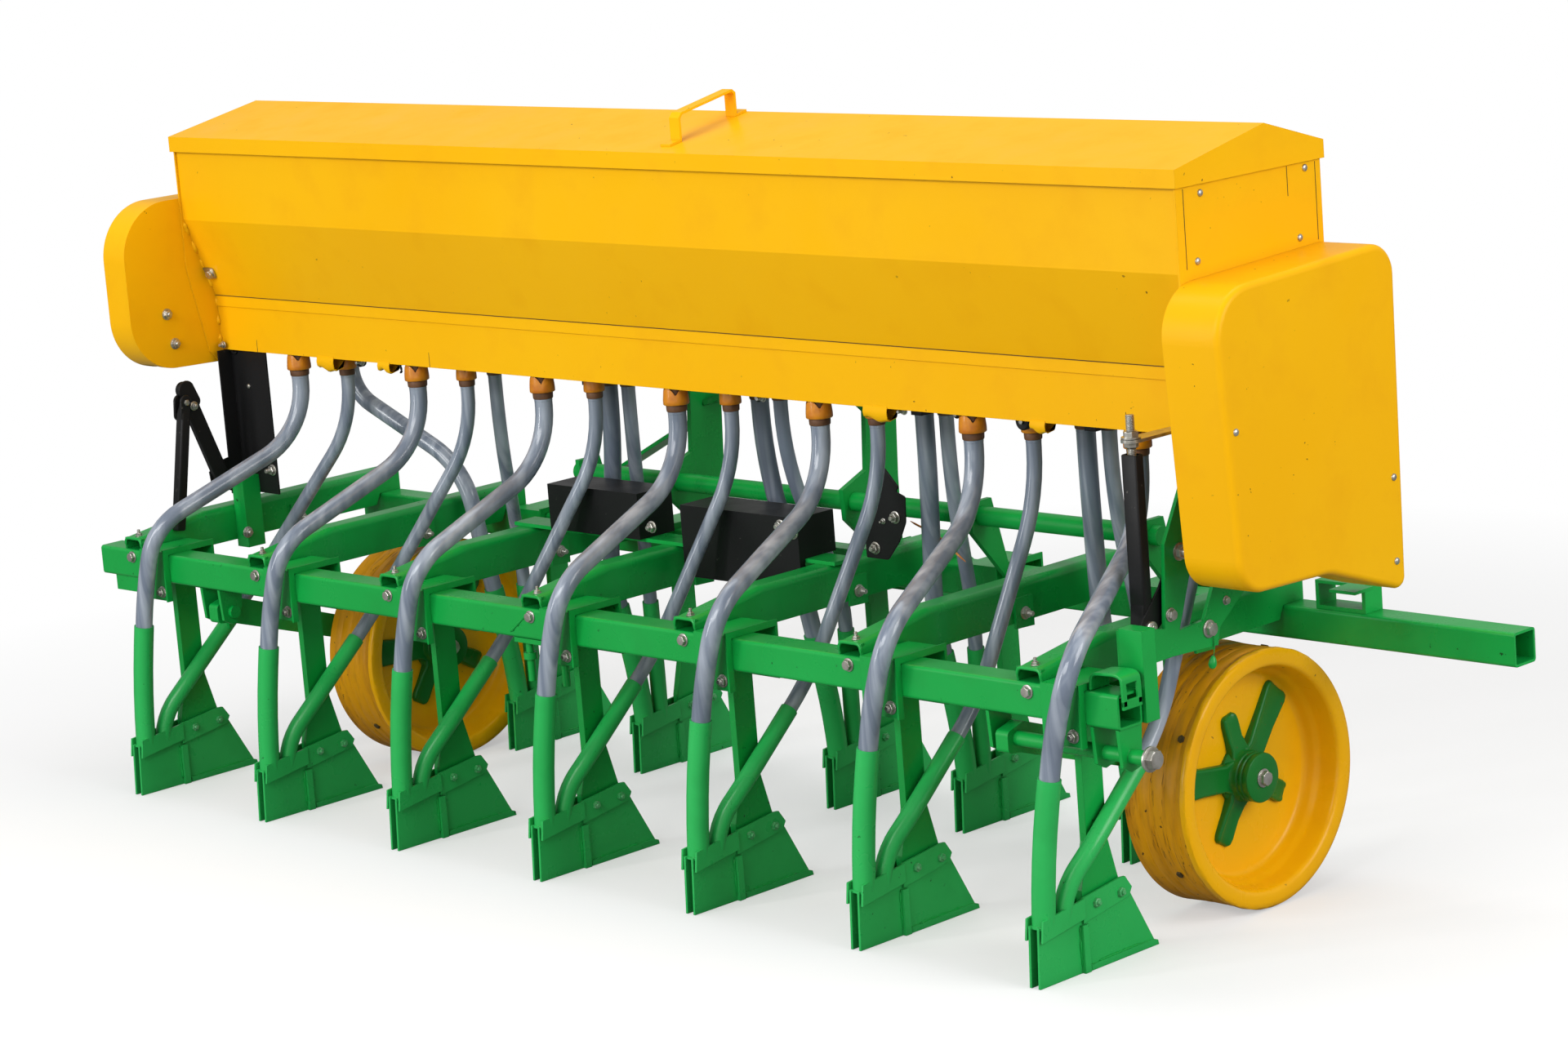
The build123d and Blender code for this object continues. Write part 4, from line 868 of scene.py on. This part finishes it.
def marks():
    """Wire, paint mark and torn tag, as they hang on the photographed drill."""
    wire = Shape()
    run = bend([(500, 520, 664), (525, 520, 655), (566, 520, 646), (611, 520, 615), (640, 525, 592)], 20, 8)
    wire.tube(run, 2.2 * MM, 8)
    wire.done("lead", [PLASTIC], slot="orange_plastic")
    red = Shape()
    blot = soft_outline([(-14, -5), (10, -8), (12, 3), (4, 9), (-9, 6)], 3, 3)
    red.prism([p * MM for p in blot], Matrix.Translation(at(521, 732.2, 398)) @ ACROSS, 0.6 * MM)
    red.done("paint_mark", [RED], slot="green_paint")
    tag = Shape()
    rings = []
    for k, (w, z) in enumerate(((2, 372), (5, 366), (7, 356), (6, 346), (8, 340), (3, 334))):
        x, y = -1302 + 3 * math.sin(k * 1.3), 138 + 2 * math.cos(k)
        rings.append([at(x - w, y, z), at(x + w, y + 1, z - 2), at(x + w, y + 2, z - 2), at(x - w, y + 1, z)])
    tag.loft(rings)
    tag.done("torn_tag", [GREEN], slot="green_paint")


# every bolt, tube and cup draws from DICE, so this order fixes how each one is turned
jack()
bar_end_bracket()
arch_lips()
flaps()
under_tray()
stand_details()
left_linkage()
marks()
clamp_bolts()
boot_bolts()
body_bolts()
rivets()
cup_pieces()
wheel_pieces("right")
wheel_pieces("left")
hopper_welds()
frame_welds()
slits()
small_fittings()

# ---------------------------------------------------------------- stage

# floor's grey as it lights the drill and as the camera sees it; to the camera, FLOOR_GLOW of plain white is mixed in
# within FADE_FROM metres of the middle, and all of it is white from FADE_TO outwards
FLOOR_BOUNCE, FLOOR_SEEN = 0.24, 0.985
FLOOR_GLOW, FADE_FROM, FADE_TO = 0.42, 1.9, 3.4
FLOOR_HALF, FLOOR_GAP = 30, 0.0005
# strength of the white world as a light; the camera sees it at full strength
WORLD_LIGHT = 0.42
# name, place, aim, width and height in metres, power in watts
LAMPS = [
    ("key", (1.0, -6.5, 4.2), (0, 0, 0.8), (4.5, 2.5), 235),
    ("strip", (-2.2, -6.0, 2.2), (0, 0, 0.7), (0.6, 3.8), 110),
    ("low", (3.0, -5.2, 0.9), (0, 0, 0.3), (4.0, 0.9), 18),
    ("fill", (6.2, 0.5, 3.0), (0, 0, 0.8), (3.5, 3.0), 172),
    ("top", (-0.5, 0.5, 6.0), (0, 0, 0.8), (5.0, 3.0), 110),
]
# camera solved from the photo: place, then its own right, up and back
CAMERA_PLACE = (6.147, -5.8705, 2.329)
CAMERA_AXES = (0.7052, 0.7049, -0.0766), (-0.0841, 0.1904, 0.9781), (0.7040, -0.6833, 0.1935)
LENS_MM, SENSOR_MM = 97.0, 36


def stage_material():
    """Pale floor that keeps its shadow near the drill and fades to plain white away from it."""
    material = bpy.data.materials.new("studio_floor")
    material.use_nodes = True
    tree = material.node_tree
    shader = tree.nodes["Principled BSDF"]
    shader.inputs["Roughness"].default_value = 0.9
    shader.inputs["Specular IOR Level"].default_value = 0.1
    path = tree.nodes.new("ShaderNodeLightPath")
    tone = tree.nodes.new("ShaderNodeMixRGB")
    tone.inputs[1].default_value = (FLOOR_BOUNCE, FLOOR_BOUNCE, FLOOR_BOUNCE, 1)
    tone.inputs[2].default_value = (FLOOR_SEEN, FLOOR_SEEN, FLOOR_SEEN, 1)
    tree.links.new(path.outputs["Is Camera Ray"], tone.inputs[0])
    tree.links.new(tone.outputs[0], shader.inputs["Base Color"])
    place = tree.nodes.new("ShaderNodeTexCoord")
    length = tree.nodes.new("ShaderNodeVectorMath")
    length.operation = "LENGTH"
    tree.links.new(place.outputs["Object"], length.inputs[0])
    far = tree.nodes.new("ShaderNodeMapRange")
    far.inputs["From Min"].default_value = FADE_FROM
    far.inputs["From Max"].default_value = FADE_TO
    far.inputs["To Min"].default_value = FLOOR_GLOW
    tree.links.new(length.outputs["Value"], far.inputs["Value"])
    seen = tree.nodes.new("ShaderNodeMath")
    seen.operation = "MULTIPLY"
    tree.links.new(far.outputs[0], seen.inputs[0])
    tree.links.new(path.outputs["Is Camera Ray"], seen.inputs[1])
    glow = tree.nodes.new("ShaderNodeEmission")
    blend = tree.nodes.new("ShaderNodeMixShader")
    tree.links.new(seen.outputs[0], blend.inputs[0])
    tree.links.new(shader.outputs[0], blend.inputs[1])
    tree.links.new(glow.outputs[0], blend.inputs[2])
    tree.links.new(blend.outputs[0], tree.nodes["Material Output"].inputs["Surface"])
    return material


def build_stage():
    mesh = bpy.data.meshes.new("studio_floor")
    corners = [(-1, -1), (1, -1), (1, 1), (-1, 1)]
    mesh.from_pydata([(x * FLOOR_HALF, y * FLOOR_HALF, 0) for x, y in corners], [], [(0, 1, 2, 3)])
    floor = bpy.data.objects.new("studio_floor", mesh)
    floor.location.z = -FLOOR_GAP
    mesh.materials.append(stage_material())
    bpy.context.scene.collection.objects.link(floor)
    world = bpy.data.worlds.new("studio")
    bpy.context.scene.world = world
    world.use_nodes = True
    tree = world.node_tree
    background = tree.nodes["Background"]
    path = tree.nodes.new("ShaderNodeLightPath")
    strength = tree.nodes.new("ShaderNodeMapRange")
    strength.inputs["To Min"].default_value = WORLD_LIGHT
    strength.inputs["To Max"].default_value = 1.0
    tree.links.new(path.outputs["Is Camera Ray"], strength.inputs["Value"])
    background.inputs["Color"].default_value = (1, 1, 1, 1)
    tree.links.new(strength.outputs[0], background.inputs["Strength"])


def area_light(name, place, target, size, power):
    data = bpy.data.lights.new(name, "AREA")
    data.shape = "RECTANGLE"
    data.size, data.size_y = size
    data.energy = power
    lamp = bpy.data.objects.new(name, data)
    lamp.location = place
    lamp.rotation_euler = (Vector(target) - Vector(place)).to_track_quat("-Z", "Y").to_euler()
    bpy.context.scene.collection.objects.link(lamp)


def camera():
    data = bpy.data.cameras.new("photo_camera")
    data.sensor_width = SENSOR_MM
    data.lens = LENS_MM
    view = bpy.data.objects.new("photo_camera", data)
    turned = Matrix(CAMERA_AXES).transposed().to_4x4()
    view.matrix_world = Matrix.Translation(CAMERA_PLACE) @ turned
    bpy.context.scene.collection.objects.link(view)
    bpy.context.scene.camera = view


build_stage()
for lamp in LAMPS:
    area_light(*lamp)
camera()
bpy.context.scene.view_settings.view_transform = "Standard"
